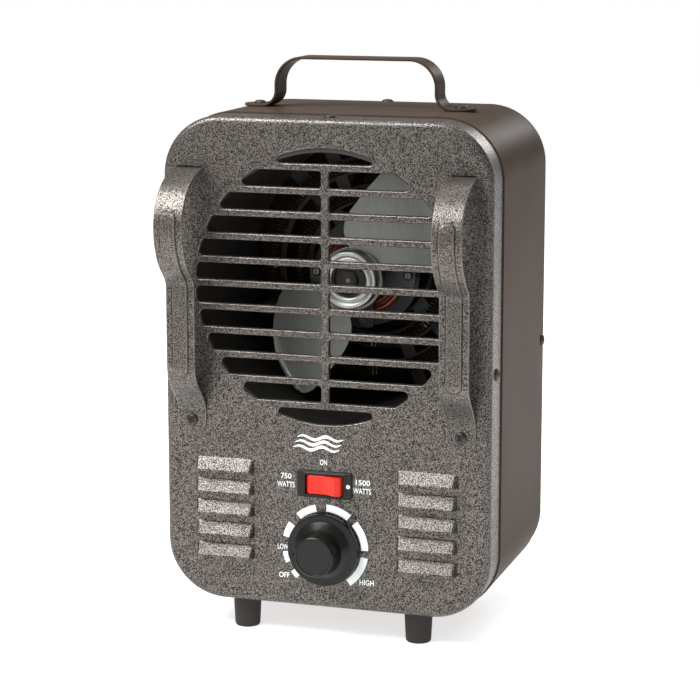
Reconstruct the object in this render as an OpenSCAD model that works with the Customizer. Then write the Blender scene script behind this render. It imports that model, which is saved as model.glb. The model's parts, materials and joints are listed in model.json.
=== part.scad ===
// Portable fan heater with a sheet-metal case, round front grille and strap handle.
// The front faces -Y, +Z is up, and the origin is under the middle of the heater, on the
// surface that its feet stand on. All sizes are in millimetres.

/* [Case] */
// Width of the front panel
panel_w = 197; // [190:1:240]
// Height of the front panel
panel_h = 286; // [270:1:340]
// Radius of the case's corners
corner_r = 35; // [22:1:45]
// Outer radius of the bend round the panels' edges
bend_r = 3.6; // [2:0.2:6]
// Thickness of the panels' sheet steel
sheet = 1; // [0.8:0.1:1.2]
// Depth of the case, from the front face to the rear face
case_depth = 132; // [128:1:170]
// Depth of the front panel's flange
front_flange = 22; // [18:1:28]
// Depth of the rear cover's flange
rear_flange = 16; // [12:1:22]
// How far the sleeve stands proud of the flanges
sleeve_proud = 0.9; // [0.6:0.1:1.5]
// Thickness of the sleeve's sheet steel
sleeve_sheet = 0.8; // [0.6:0.1:1]

/* [Front grille] */
// Radius of the round grille
grille_r = 78.8; // [60:0.2:80]
// Distance from the panel's top edge down to the grille's centre
grille_drop = 96.8; // [90:0.2:105]
// Number of horizontal bars
bar_count = 11; // [7:2:11]
// Spacing of the bars
bar_pitch = 13.8; // [9:0.1:14]
// Height of each bar
bar_h = 4.2; // [3:0.1:6]
// Width of the upright bar in the middle
mid_bar_w = 4.9; // [3:0.1:8]

/* [Louvers] */
// Distance from the middle to the centre of each column of louvers
louver_x = 61.5; // [55:0.5:70]
// Width of a louver
louver_w = 36; // [24:1:42]
// Number of louvers in a column
louver_count = 5; // [3:1:5]
// Spacing of the louvers
louver_pitch = 12.9; // [11:0.1:14]
// Height of the lowest louver's lip above the panel's bottom edge
louver_rise = 26.4; // [22:0.2:32]
// Height of a louver's hood
louver_h = 8.2; // [6:0.2:9]
// How far a louver's lip stands out
louver_out = 4.6; // [3:0.2:6]

/* [Guard bars] */
// Distance from the middle to each guard bar's centre line
guard_x = 81.4; // [76:0.2:86]
// Width of a guard bar
guard_w = 17.5; // [14:0.5:20]
// Thickness of a guard bar
guard_t = 1.2; // [1:0.1:2]
// How far the bulge stands out from the front face
guard_bulge = 36; // [28:1:42]
// How far the straight part stands out from the front face
guard_flat = 18; // [14:1:22]
// Height of the bead that stiffens a guard bar
guard_bead = 1; // [0.6:0.1:1.6]
// Distance from the panel's top edge down to the slit that holds a guard bar
slit_drop = 30; // [26:0.5:34]
// Distance from the panel's top edge down to the screw that holds a guard bar
tab_drop = 178.4; // [165:0.2:185]

/* [Handle] */
// Distance between the outer faces of the handle's legs
handle_span = 100; // [80:1:130]
// Height of the handle's top above the sleeve
handle_rise = 30; // [28:1:45]
// Width of the handle's strap
strap_w = 18.5; // [14:0.5:24]
// Thickness of the handle's strap
strap_t = 1.6; // [1.2:0.1:2.5]

/* [Feet] */
// Height of the feet under the front panel
foot_h = 18.5; // [14:0.5:25]
// Diameter of a foot at its top
foot_top_d = 17; // [14:0.5:20]
// Diameter of a foot at its bottom
foot_bottom_d = 15; // [10:0.5:18]
// Distance from the middle to each foot
foot_x = 53; // [40:1:60]

/* [Controls] */
// Height of the switch's centre above the panel's bottom edge
switch_rise = 74.2; // [68:0.2:78]
// Width of the switch's bezel
bezel_w = 33.5; // [30:0.5:40]
// Height of the switch's bezel
bezel_h = 15.7; // [14:0.1:18]
// Width of the opening for the rocker
rocker_w = 23; // [18:0.1:25]
// Half of the rocker's travel
rocker_tilt = 10; // [6:1:12]
// Height of the dial's centre above the panel's bottom edge
dial_rise = 36.2; // [32:0.2:40]
// Radius of the knob's skirt
knob_r = 21.4; // [16:0.2:22]
// Radius of the knob's grip
grip_r = 12.8; // [9:0.2:14]
// Distance from the front face to the knob's front
knob_out = 21.4; // [16:0.2:26]
// Radius of the thermostat's shaft
dial_shaft_r = 3; // [2.5:0.1:4]

/* [Fan] */
// Gap between the blades' tips and the air duct
tip_gap = 5.5; // [4:0.5:14]
// Radius of the fan's hub cup
hub_r = 17.5; // [12:0.5:20]
// Distance from the front face to the front of the hub cup
hub_depth = 43; // [40:1:56]
// Gap between the grille's edge and the inside of the air duct
duct_gap = 0.9; // [0.5:0.1:3]
// Radius of the motor's shaft
shaft_r = 2.5; // [2:0.1:3.2]

/* [Hidden] */

$fn = 64;
slip = 0.05;                 // radial clearance of a turning fit
fit_gap = 0.1;               // gap between pieces that are fitted together
hole_gap = 0.15;             // radial clearance of a screw hole
cut = 1;                     // how far a cut runs past a face

screw_r = 1.9;               // radius of the sheet-metal screws' shanks
head_r = 3.6;                // radius of their heads
head_h = 1.7;                // height of their heads

// heights
panel_z0 = foot_h;                        // panel's bottom edge
panel_z1 = panel_z0 + panel_h;            // panel's top edge
panel_zc = (panel_z0 + panel_z1) / 2;
sleeve_z0 = panel_z0 - sleeve_proud;
sleeve_z1 = panel_z1 + sleeve_proud;
grille_z = panel_z1 - grille_drop;
fan_z = grille_z - 2;                     // the fan sits slightly below the grille's centre
duct_r = grille_r + duct_gap;             // inside radius of the air duct
fan_r = duct_r - tip_gap;                 // radius of the fan at its blades' tips
switch_z = panel_z0 + switch_rise;
dial_z = panel_z0 + dial_rise;

// depths: y(d) is the place of a point d behind the front face
guard_reach = guard_bulge + guard_bead;
gland_out = 3;                            // how far the cord gland stands out of the rear
depth_all = guard_reach + case_depth + gland_out;
face_y = guard_reach - depth_all / 2;
function y(d) = face_y + d;

// the sleeve's lips slide inside both flanges
lip_out = -sheet - fit_gap;               // outside of the lips, from the panel's outline
lip_in = lip_out - sleeve_sheet;
front_lip = front_flange - 6;
rear_lip = rear_flange - 4;
sleeve_in = sleeve_proud - sleeve_sheet;
flange_screw_d = front_flange / 2;        // screws in the middle of the front flange
rear_screw_d = case_depth - rear_flange / 2;
foot_d = front_flange - foot_top_d / 2 - 0.3;
rear_foot_d = case_depth - rear_flange - foot_top_d / 2 - 8;
handle_d = case_depth / 2;

// ---------------------------------------------------------------- helpers
module rounded_rect(grow) {
    w = panel_w + 2 * grow;
    h = panel_h + 2 * grow;
    r = corner_r + grow;
    translate([0, panel_zc]) {
        square([w - 2 * r, h], center = true);
        square([w, h - 2 * r], center = true);
        for (sx = [-1, 1], sz = [-1, 1]) translate([sx * (w / 2 - r), sz * (h / 2 - r)]) circle(r);
    }
}

// extrudes a front-view outline from depth d0 to depth d1
module plate(d0, d1) translate([0, y(d1), 0]) rotate([90, 0, 0]) linear_extrude(d1 - d0) children();

// extrudes an outline drawn in (Y, Z) across a width, centred on x
module across(x, w) translate([x - w / 2, 0, 0]) rotate([90, 0, 90]) linear_extrude(w) children();

// round bars along Y, Z and X
module bar_y(x, z, d0, d1, r, r_end = 0)
    translate([x, y(d0), z]) rotate([-90, 0, 0]) cylinder(h = d1 - d0, r1 = r, r2 = r_end > 0 ? r_end : r);
module bar_z(x, d, z0, z1, r, r_end = 0)
    translate([x, y(d), z0]) cylinder(h = z1 - z0, r1 = r, r2 = r_end > 0 ? r_end : r);
module bar_x(x0, x1, d, z, r)
    translate([x0, y(d), z]) rotate([0, 90, 0]) cylinder(h = x1 - x0, r = r);
// ring along Y
module ring_y(x, z, d0, d1, r_out, r_in) difference() {
    bar_y(x, z, d0, d1, r_out);
    bar_y(x, z, d0 - cut, d1 + cut, r_in);
}
// box given by its corners, with Y as depths
module block(x0, x1, d0, d1, z0, z1) translate([x0, y(d0), z0]) cube([x1 - x0, d1 - d0, z1 - z0]);

// pan-head screw along +Z with its seat at the origin and a cross recess
module screw(len, r = screw_r, hr = head_r, hh = head_h) {
    difference() {
        union() {
            cylinder(h = hh * 0.45, r = hr);
            translate([0, 0, hh * 0.45]) cylinder(h = hh * 0.55, r1 = hr, r2 = hr * 0.62);
        }
        for (a = [0, 90]) rotate(a) translate([-hr * 0.5, -hr * 0.11, hh * 0.45])
            cube([hr, hr * 0.22, hh]);
    }
    translate([0, 0, -len]) cylinder(h = len, r = r);
}

// ---------------------------------------------------------------- shells
// bent edge of a pan in (distance from the corner's centre, depth)
module edge_profile(flange) {
    intersection() {
        translate([corner_r - bend_r, -bend_r]) difference() {
            circle(bend_r);
            circle(bend_r - sheet);
        }
        translate([corner_r - bend_r, -bend_r]) square(bend_r);
    }
    translate([corner_r - sheet, -flange]) square([sheet, flange - bend_r]);
}

// rim of a pan, drawn in the plane of its face with its outside up (+Z)
module pan_rim(flange) {
    cx = panel_w / 2 - corner_r;
    cz = panel_h / 2 - corner_r;
    translate([0, panel_zc, 0]) {
        for (q = [0:3]) {
            sx = q == 0 || q == 3 ? 1 : -1;
            sz = q < 2 ? 1 : -1;
            translate([sx * cx, sz * cz, 0]) rotate(q * 90) rotate_extrude(angle = 90) edge_profile(flange);
        }
        for (s = [0, 180]) rotate(s) {
            translate([cx, cz, 0]) rotate([90, 0, 0]) linear_extrude(2 * cz) edge_profile(flange);
            translate([-cx, cz, 0]) rotate([90, 0, 90]) linear_extrude(2 * cx) edge_profile(flange);
        }
    }
}

module grille_slots() {
    half = (bar_count - 1) / 2;
    difference() {
        translate([0, grille_z]) circle(grille_r, $fn = 128);
        for (i = [-half:half])
            translate([-grille_r - cut, grille_z + i * bar_pitch - bar_h / 2])
                square([2 * (grille_r + cut), bar_h]);
        translate([-mid_bar_w / 2, grille_z - half * bar_pitch]) square([mid_bar_w, 2 * half * bar_pitch]);
    }
}

louver_wall = sheet;
louver_edge = 0.8;           // height of a louver's upright lip
function louver_lip(i) = panel_z0 + louver_rise + i * louver_pitch;
module louver_window(x, z) translate([x - louver_w / 2 + louver_wall, z + 0.6])
    square([louver_w - 2 * louver_wall, louver_h - 2.2]);

// hood that stands out of the front face; its lip is at height z
module louver(x, z, out = louver_out) {
    slant = louver_h - louver_edge;
    across(x, louver_w) polygon([
        [y(0), z + louver_h], [y(-out), z + louver_edge], [y(-out), z],
        [y(-out + louver_wall), z], [y(-out + louver_wall), z + louver_edge], [y(0), z + slant - 0.6]]);
    for (s = [-1, 1]) across(x + s * (louver_w - louver_wall) / 2, louver_wall)
        polygon([[y(0), z + louver_h], [y(-out), z + louver_edge], [y(-out), z], [y(0), z]]);
}

slit_gap = 0.25;
slit_z = panel_z1 - slit_drop;         // slit that holds a guard bar's upper end
tab_screw_z = panel_z1 - tab_drop;
module front_panel() color("#6f6b67") difference() {
    union() {
        plate(0, sheet) difference() {
            rounded_rect(-bend_r);
            grille_slots();
            for (s = [-1, 1], i = [0:louver_count - 1]) louver_window(s * louver_x, louver_lip(i));
            translate([0, switch_z]) square([bezel_w - 4 + 2 * fit_gap, bezel_h - 2 + 2 * fit_gap], center = true);
            translate([0, dial_z]) circle(bushing_r + hole_gap);
            for (s = [-1, 1]) {
                translate([s * guard_x, slit_z - guard_t / 2])
                    square([guard_w - 4 + 2 * slit_gap, guard_t + 2 * slit_gap], center = true);
                translate([s * guard_x, tab_screw_z]) circle(screw_r + hole_gap);
            }
        }
        translate([0, face_y, 0]) rotate([90, 0, 0]) pan_rim(front_flange);
        for (s = [-1, 1], i = [0:louver_count - 1]) louver(s * louver_x, louver_lip(i));
    }
    flange_holes(flange_screw_d);
    for (s = [-1, 1]) bar_z(s * foot_x, foot_d, panel_z0 - cut, panel_z0 + sheet + cut, screw_r + hole_gap);
}

// holes through a flange, at the middle of its four sides
module flange_holes(d) {
    reach = panel_w / 2 + cut + sleeve_proud;
    for (s = [-1, 1]) bar_x(s > 0 ? reach - 8 : -reach, s > 0 ? reach : 8 - reach, d, panel_zc, screw_r + hole_gap);
    bar_z(0, d, panel_z1 - 6, panel_z1 + sleeve_proud + cut, screw_r + hole_gap);
    bar_z(0, d, panel_z0 - sleeve_proud - cut, panel_z0 + 6, screw_r + hole_gap);
}

module sleeve_band(d0, d1, out, in) plate(d0, d1) difference() {
    rounded_rect(out);
    rounded_rect(in);
}

module case_sleeve() color("#52483f") difference() {
    d0 = front_flange;
    d1 = case_depth - rear_flange;
    union() {
        sleeve_band(d0, d1, sleeve_proud, sleeve_in);
        sleeve_band(d0, d0 + sleeve_sheet, sleeve_in, lip_in);
        sleeve_band(d1 - sleeve_sheet, d1, sleeve_in, lip_in);
        sleeve_band(d0 - front_lip, d0, lip_out, lip_in);
        sleeve_band(d1, d1 + rear_lip, lip_out, lip_in);
    }
    flange_holes(flange_screw_d);
    flange_holes(rear_screw_d);
    for (s = [-1, 1]) {
        bar_z(s * foot_x, foot_d, panel_z0 - cut, panel_z0 + 4, screw_r + hole_gap);
        bar_z(s * foot_x, rear_foot_d, sleeve_z0 - cut, panel_z0 + 4, screw_r + hole_gap);
        bar_z(s * handle_screw_x, handle_d, sleeve_z1 - 4, sleeve_z1 + cut, screw_r + hole_gap);
    }
}

intake_rows = 9;             // louvers in the rear cover that let air in to the fan
intake_x = louver_w + 6;     // spacing of their three columns
intake_out = gland_out - 0.2;
function intake_lip(i) = fan_z + (i - (intake_rows - 1) / 2) * louver_pitch - louver_h / 2;
gland_x = 62;                // place of the cord gland on the rear cover
gland_z = panel_z0 + 34;
gland_r = 7;
low_vent_x = 40;             // slots that ventilate the lower compartment
low_vent_rise = 60;
low_vent_pitch = 7;
low_vent_len = 30;
module rear_cover() color("#4a423b") difference() {
    union() {
        plate(case_depth - sheet, case_depth) difference() {
            rounded_rect(-bend_r);
            for (s = [-1:1], i = [0:intake_rows - 1]) louver_window(s * intake_x, intake_lip(i));
            translate([gland_x, gland_z]) circle(gland_r + hole_gap);
            for (s = [-1, 1], i = [0:3])
                translate([s * low_vent_x, panel_z0 + low_vent_rise + i * low_vent_pitch]) vent_slot(low_vent_len);
        }
        translate([0, y(case_depth), 0]) mirror([0, 1, 0]) rotate([90, 0, 0]) pan_rim(rear_flange);
        translate([0, y(0) + y(case_depth), 0]) mirror([0, 1, 0])
            for (s = [-1:1], i = [0:intake_rows - 1]) louver(s * intake_x, intake_lip(i), intake_out);
    }
    flange_holes(rear_screw_d);
}

vent_h = 3.4;                // height of a vent slot
module vent_slot(len) {
    square([len, vent_h], center = true);
    for (s = [-1, 1]) translate([s * len / 2, 0]) circle(vent_h / 2);
}

// ---------------------------------------------------------------- guard bars
bulge_rise = 32;                       // height of the bulge above its crest
bulge_fall = 35;                       // and below it
bulge_z = slit_z - bulge_rise;         // height of the bulge's crest
flat_end_z = tab_screw_z + 32;         // where the straight part turns back to the panel
tab_z = tab_screw_z + 4.6;             // where the bar lies on the panel again
tab_end_z = tab_screw_z - guard_w / 2;
tuck = 4;                              // length tucked behind the panel
bead_w = guard_w * 0.52;

function smooth_max(a, b, k) = (a + b + sqrt((a - b) * (a - b) + k * k)) / 2;
function ease(t) = t <= 0 ? 0 : t >= 1 ? 1 : t * t * (3 - 2 * t);
function bulge_low(z) = guard_bulge * sqrt(max(0, 1 - pow((bulge_z - z) / bulge_fall, 2)));
// how far the outer surface stands out at height z, below the crest
function reach_at(z) = z > flat_end_z
    ? min(guard_bulge, smooth_max(bulge_low(z), guard_flat, 5 * min(1, (bulge_z - z) / 20)))
    : guard_t + (guard_flat - guard_t) * ease((z - tab_z) / (flat_end_z - tab_z));
// centre line of the outer surface as (y, z), from behind the slit down to the tab
function guard_line() = concat(
    [[y(tuck), slit_z]],
    [for (a = [0:6:84]) [y(-guard_bulge * sin(a)), bulge_z + bulge_rise * cos(a)]],
    [for (z = [bulge_z:-2.5:tab_end_z]) [y(-reach_at(z)), z]],
    [[y(-guard_t), tab_end_z]]);
function unit(v) = v / norm(v);
function normals(p) = [for (i = [0:len(p) - 1])
    let (a = p[max(0, i - 1)], b = p[min(len(p) - 1, i + 1)], t = unit(b - a)) [t[1], -t[0]]];
// band of a line between two distances towards its inner side
function band(p, near, far) = let (n = normals(p)) concat(
    [for (i = [0:len(p) - 1]) p[i] - n[i] * near],
    [for (i = [len(p) - 1:-1:0]) p[i] - n[i] * far]);

module guard_bar(x) color("#74706c") {
    line = guard_line();
    round_z = tab_screw_z + guard_w / 2 + 2;       // the tab lies below this height
    above = [for (p = line) if (p[1] > round_z) p];
    tab_line = [for (p = line) if (p[1] <= round_z + 8) p];
    bead_line = [for (p = line) if (p[1] < bulge_z + 9 && p[1] > flat_end_z - 5) p];
    difference() {
        union() {
            across(x, guard_w) polygon(band([for (i = [1:len(above) - 1]) above[i]], 0, guard_t));
            across(x, guard_w - 4) polygon(band([line[0], line[1], line[2]], 0, guard_t));
            across(x, bead_w) polygon(band(bead_line, -guard_bead, 0));
            plate(-guard_t, 0) {
                translate([x - guard_w / 2, tab_screw_z]) square([guard_w, tab_z - tab_screw_z]);
                translate([x, tab_screw_z]) circle(guard_w / 2);
            }
            intersection() {
                across(x, guard_w) polygon(band(tab_line, 0, guard_t));
                block(x - guard_w, x + guard_w, -40, 0, tab_z - 1, tab_screw_z + guard_w);
            }
        }
        bar_y(x, tab_screw_z, -guard_t - cut, cut, screw_r + hole_gap);
    }
}
module left_guard_bar() guard_bar(-guard_x);
module right_guard_bar() guard_bar(guard_x);
module guard_bar_screws() color("#4b4744")
    for (s = [-1, 1]) translate([s * guard_x, y(-guard_t), tab_screw_z]) rotate([90, 45, 0]) screw(9);

// ---------------------------------------------------------------- handle
upper_bend = 17;             // outer radius of the bends at the top
lower_bend = 8;              // inner radius of the bends above the pads
handle_screw_x = handle_span / 2 + lower_bend + 4;

// a quarter bend of the strap round the Y axis, from angle a
module strap_bend(x, z, r, a) translate([x, y(handle_d) + strap_w / 2, z]) rotate([90, 0, 0])
    rotate(a) rotate_extrude(angle = 90) translate([r - strap_t, 0]) square([strap_t, strap_w]);

module handle_half() {
    half = handle_span / 2;
    top = sleeve_z1 + handle_rise;
    d0 = handle_d - strap_w / 2;
    d1 = handle_d + strap_w / 2;
    low = lower_bend + strap_t;
    block(0, half - upper_bend, d0, d1, top - strap_t, top);
    strap_bend(half - upper_bend, top - upper_bend, upper_bend, 0);
    block(half - strap_t, half, d0, d1, sleeve_z1 + low, top - upper_bend);
    strap_bend(half - strap_t + low, sleeve_z1 + low, low, 180);
    difference() {
        union() {
            block(half - strap_t + low, handle_screw_x, d0, d1, sleeve_z1, sleeve_z1 + strap_t);
            bar_z(handle_screw_x, handle_d, sleeve_z1, sleeve_z1 + strap_t, strap_w / 2);
        }
        bar_z(handle_screw_x, handle_d, sleeve_z1 - cut, sleeve_z1 + strap_t + cut, screw_r + hole_gap);
    }
}
module carry_handle() color("#4d453f") for (s = [0, 1]) mirror([s, 0, 0]) handle_half();
module handle_screws() color("#3b3733")
    for (s = [-1, 1]) translate([s * handle_screw_x, y(handle_d), sleeve_z1 + strap_t]) screw(8);

// ---------------------------------------------------------------- case screws
module flange_screws(d) {
    for (s = [-1, 1]) {
        translate([s * panel_w / 2, y(d), panel_zc]) rotate([0, s * 90, 0]) screw(6);
        translate([0, y(d), s > 0 ? panel_z1 : panel_z0]) rotate([s > 0 ? 0 : 180, 0, 0]) screw(6);
    }
}
module front_panel_screws() color("#3b3733") flange_screws(flange_screw_d);
module rear_cover_screws() color("#3b3733") flange_screws(rear_screw_d);

// ---------------------------------------------------------------- feet
foot_recess = 5;             // depth of the recess for the screw's head
module foot(x, d, z1) color("#2b2825") difference() {
    union() {
        bar_z(x, d, 1.2, z1, foot_bottom_d / 2, foot_top_d / 2);
        bar_z(x, d, 0, 1.2, foot_bottom_d / 2 - 1, foot_bottom_d / 2);
    }
    bar_z(x, d, -cut, foot_recess, head_r + 0.4);
    bar_z(x, d, 0, z1 + cut, screw_r + hole_gap);
}
module front_left_foot() foot(-foot_x, foot_d, panel_z0);
module front_right_foot() foot(foot_x, foot_d, panel_z0);
module rear_left_foot() foot(-foot_x, rear_foot_d, sleeve_z0);
module rear_right_foot() foot(foot_x, rear_foot_d, sleeve_z0);
module foot_screws() color("#8a8a86")
    for (s = [-1, 1], d = [foot_d, rear_foot_d])
        translate([s * foot_x, y(d), foot_recess]) rotate([180, 0, 0]) screw(foot_h - foot_recess + 5);

// ---------------------------------------------------------------- rocker switch
bezel_out = 2;               // how far the bezel stands out of the panel
housing_depth = 22;
housing_w = bezel_w - 4;
housing_h = bezel_h - 2;
rocker_h = bezel_h - 4.2;
rocker_ri = rocker_w / 2 - 0.3;        // radius swept by the rocker's ends
pivot_d = 1.83 - bezel_out;            // depth of the rocker's pivot
pivot_r = 1;
pivot_len = 1;
rocker_pocket = 11;          // depth of the rocker's pocket behind its pivot
module switch_housing() color("#232823") difference() {
    union() {
        block(-bezel_w / 2, bezel_w / 2, -bezel_out, 0, switch_z - bezel_h / 2, switch_z + bezel_h / 2);
        block(-housing_w / 2, housing_w / 2, 0, housing_depth, switch_z - housing_h / 2, switch_z + housing_h / 2);
    }
    block(-rocker_w / 2, rocker_w / 2, -bezel_out - cut, pivot_d + rocker_pocket,
        switch_z - rocker_h / 2, switch_z + rocker_h / 2);
    for (s = [-1, 1]) bar_z(0, pivot_d, switch_z + (s > 0 ? rocker_h / 2 - cut : -rocker_h / 2 - pivot_len - 0.1),
        switch_z + (s > 0 ? rocker_h / 2 + pivot_len + 0.1 : cut - rocker_h / 2), pivot_r + slip);
}

// front face of the rocker in its own frame: hollow in the middle, ends on the swept circle
rocker_end = 20;             // angle of the ends' corners
module rocker_outline() intersection() {
    circle(rocker_ri);
    polygon([
        [-rocker_ri * cos(rocker_end), rocker_ri * sin(rocker_end)], [0, 2.1],
        [rocker_ri * cos(rocker_end), rocker_ri * sin(rocker_end)],
        [rocker_ri + cut, 0], [rocker_ri + cut, -2], [4, -6], [-4, -6], [-rocker_ri - cut, -2],
        [-rocker_ri - cut, 0]]);
}
module rocker_button() color("#d8402c") {
    translate([0, y(pivot_d), switch_z - rocker_h / 2 + 0.25]) rotate([0, 0, 180 - rocker_tilt]) mirror([1, 0, 0])
        linear_extrude(rocker_h - 0.5) rocker_outline();
    bar_z(0, pivot_d, switch_z - rocker_h / 2 - pivot_len, switch_z + rocker_h / 2 + pivot_len, pivot_r);
}
tab_gap = 9;                 // flat spade terminals, their spacing and size
tab_w = 6.2;
tab_t = 0.8;
tab_len = 8;
module spade_terminal(x, d, z)
    block(x - tab_w / 2, x + tab_w / 2, d, d + tab_len, z - tab_t / 2, z + tab_t / 2);
module switch_terminals() color("#c9a45a") for (s = [-1, 0, 1], t = [-1, 1])
    spade_terminal(s * tab_gap, housing_depth, switch_z + t * 3.4);

// ---------------------------------------------------------------- thermostat and knob
bushing_r = dial_shaft_r + 1.8;
skirt_gap = 2.4;             // gap between the knob and the panel
skirt_t = 3.2;
cone_t = 4.4;                // height of the cone between the skirt and the grip
cone_r = grip_r + 4.5;
shaft_out = knob_out - 3;
rest_angle = 12;             // pointer's angle below straight left, at rest
module control_knob() color("#23221f") difference() {
    back = skirt_gap + skirt_t;
    union() {
        bar_y(0, dial_z, -back, -skirt_gap, knob_r - 1, knob_r);
        bar_y(0, dial_z, -back - cone_t, -back, grip_r + 0.6, cone_r);
        bar_y(0, dial_z, -knob_out + 0.8, -back - cone_t, grip_r - 1.2, grip_r);
        bar_y(0, dial_z, -knob_out, -knob_out + 0.8, grip_r - 2, grip_r - 1.2);
        // pointer on the skirt's edge
        translate([0, y(-skirt_gap), dial_z]) rotate([90, -rest_angle, 0])
            translate([-knob_r - 1, -1, 0]) cube([knob_r - cone_r + 2, 2, skirt_t + 0.8]);
    }
    bar_y(0, dial_z, -shaft_out, cut, dial_shaft_r + slip);
    bar_y(0, dial_z, -skirt_gap - 2, cut, nut_r + 1.2);
}
module thermostat_shaft() color("#b9b2a4") bar_y(0, dial_z, -shaft_out + 0.2, bushing_len + 3, dial_shaft_r);
bushing_len = 6;
nut_r = bushing_r + 2.4;
nut_t = 2;
module thermostat_bushing() color("#b9b2a4") difference() {
    union() {
        bar_y(0, dial_z, -nut_t - 1, bushing_len, bushing_r);
        bar_y(0, dial_z, sheet, bushing_len, nut_r);
    }
    bar_y(0, dial_z, -nut_t - 2, bushing_len + cut, dial_shaft_r + slip);
}
module thermostat_nut() color("#c8c4ba") difference() {
    translate([0, y(0), dial_z]) rotate([90, 0, 0]) cylinder(h = nut_t, r = nut_r, $fn = 6);
    bar_y(0, dial_z, -nut_t - cut, cut, bushing_r + hole_gap);
}
body_w = 30;
body_depth = 20;
module thermostat_body() color("#d9d4c6") difference() {
    block(-body_w / 2, body_w / 2, bushing_len, bushing_len + body_depth, dial_z - body_w / 2, dial_z + body_w / 2);
    bar_y(0, dial_z, bushing_len - cut, bushing_len + 5, dial_shaft_r + slip);
}
module thermostat_terminals() color("#c9a45a") for (s = [-1, 1])
    spade_terminal(s * tab_gap, bushing_len + body_depth, dial_z);

// ---------------------------------------------------------------- duct
duct_t = 0.8;
duct_end = 112;              // depth of the duct's rear edge
duct_rim = 6;                // width of the duct's front and rear rims
module duct_band(d0, d1, r_out, r_in) ring_y(0, fan_z, d0, d1, r_out, r_in);
module air_duct() color("#37342f") difference() {
    union() {
        duct_band(sheet, duct_end, duct_r + duct_t, duct_r);
        duct_band(sheet, sheet + duct_t, duct_r + duct_rim, duct_r + duct_t / 2);
        duct_band(duct_end - duct_t, duct_end, duct_r + duct_rim, duct_r + duct_t / 2);
    }
    spider_holes(duct_end - duct_t - cut, duct_end + cut);
    for (a = [20:60:320]) rotate_fan(a) bar_y(duct_r + duct_rim - 2.6, 0, 0, sheet + duct_t + cut, rivet_r + 0.05);
}
// turns children drawn around X = Z = 0 to the fan's axis at angle a
module rotate_fan(a) translate([0, 0, fan_z]) rotate([0, -a, 0]) children();
rivet_r = 1.2;
module duct_rivets() color("#3b3733") for (a = [20:60:320])
    rotate_fan(a) bar_y(duct_r + duct_rim - 2.6, 0, sheet, sheet + duct_t + 1, rivet_r);

spider_angles = [45, 135, 225, 315];
module spider_holes(d0, d1) for (a = spider_angles)
    rotate_fan(a) bar_y(duct_r + duct_rim - 2.4, 0, d0, d1, 1.5 + hole_gap);

spider_t = 1.2;
spider_hub_r = 33;
module motor_spider() color("#8a8a86") difference() {
    union() {
        bar_y(0, fan_z, duct_end, duct_end + spider_t, spider_hub_r);
        for (a = spider_angles) rotate_fan(a)
            block(0, duct_r + duct_rim, duct_end, duct_end + spider_t, -5, 5);
    }
    bar_y(0, fan_z, duct_end - cut, duct_end + spider_t + cut, bearing_r + 3);
    spider_holes(duct_end - cut, duct_end + spider_t + cut);
    motor_bolt_holes(duct_end - cut, duct_end + spider_t + cut);
}
module spider_screws() color("#8a8a86") for (a = spider_angles) rotate_fan(a)
    translate([duct_r + duct_rim - 2.4, y(duct_end + spider_t), 0]) rotate([-90, 0, 0]) screw(4, 1.5, 2.6, 1.4);

// ---------------------------------------------------------------- fan and motor
hub_end = hub_depth + 15;
hub_wall = 1.2;
module fan_hub() color("#c9c9c6") {
    difference() {
        bar_y(0, fan_z, hub_depth, hub_end, hub_r - 1, hub_r);
        bar_y(0, fan_z, hub_depth - cut, hub_depth + 5, hub_r - 1 - hub_wall - 1.5);
        bar_y(0, fan_z, hub_depth + 6.5, hub_end + cut, hub_r - 1 - hub_wall);
        bar_y(0, fan_z, hub_depth, hub_end + cut, shaft_r);
    }
    ring_y(0, fan_z, hub_depth + 6.5, hub_end, shaft_r + 3, shaft_r);
}
blade_pitch = 24;
blade_t = 1.2;
blade_d = hub_depth + 9;
// corners of a blade seen from the front: share of the fan's radius, and angle from the blade's middle
blade_corners = [[0.25, 38], [0.33, 43], [0.4, 44], [0.5, 40], [0.64, 32], [0.82, 24.5], [0.94, 20.5], [0.985, 17.5],
    [1, 14], [0.985, 9], [0.93, -6], [0.83, -20], [0.73, -32], [0.65, -40], [0.57, -43], [0.5, -40], [0.4, -33],
    [0.33, -29], [0.25, -26]];
module blade_outline() difference() {
    polygon([for (c = blade_corners) [fan_r * c[0] * cos(c[1]), fan_r * c[0] * sin(c[1]) / cos(blade_pitch)]]);
    circle(hub_r + 4);
}
module fan_blades() color("#6b6d69") {
    for (a = [50, 232]) rotate_fan(a) {
        translate([0, y(blade_d), 0]) rotate([90 + blade_pitch, 0, 0]) linear_extrude(blade_t, center = true)
            blade_outline();
        translate([0, y(blade_d), 0]) rotate([90 + blade_pitch, 0, 0]) linear_extrude(blade_t, center = true)
            translate([hub_r + 0.9, -9]) square([6, 18]);
    }
    ring_y(0, fan_z, blade_d - 1.4, blade_d + 1.4, hub_r + 2.6, hub_r + slip);
}
module fan_nut() color("#c98f3c") difference() {
    translate([0, y(hub_depth + 5), fan_z]) rotate([90, 0, 0]) cylinder(h = 3, r = shaft_r + 2.1, $fn = 6);
    bar_y(0, fan_z, hub_depth, hub_depth + 8, shaft_r);
}
shaft_end = duct_end + 3;
module motor_shaft() color("#b9b9b6") bar_y(0, fan_z, hub_depth + 0.5, shaft_end, shaft_r);

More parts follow.
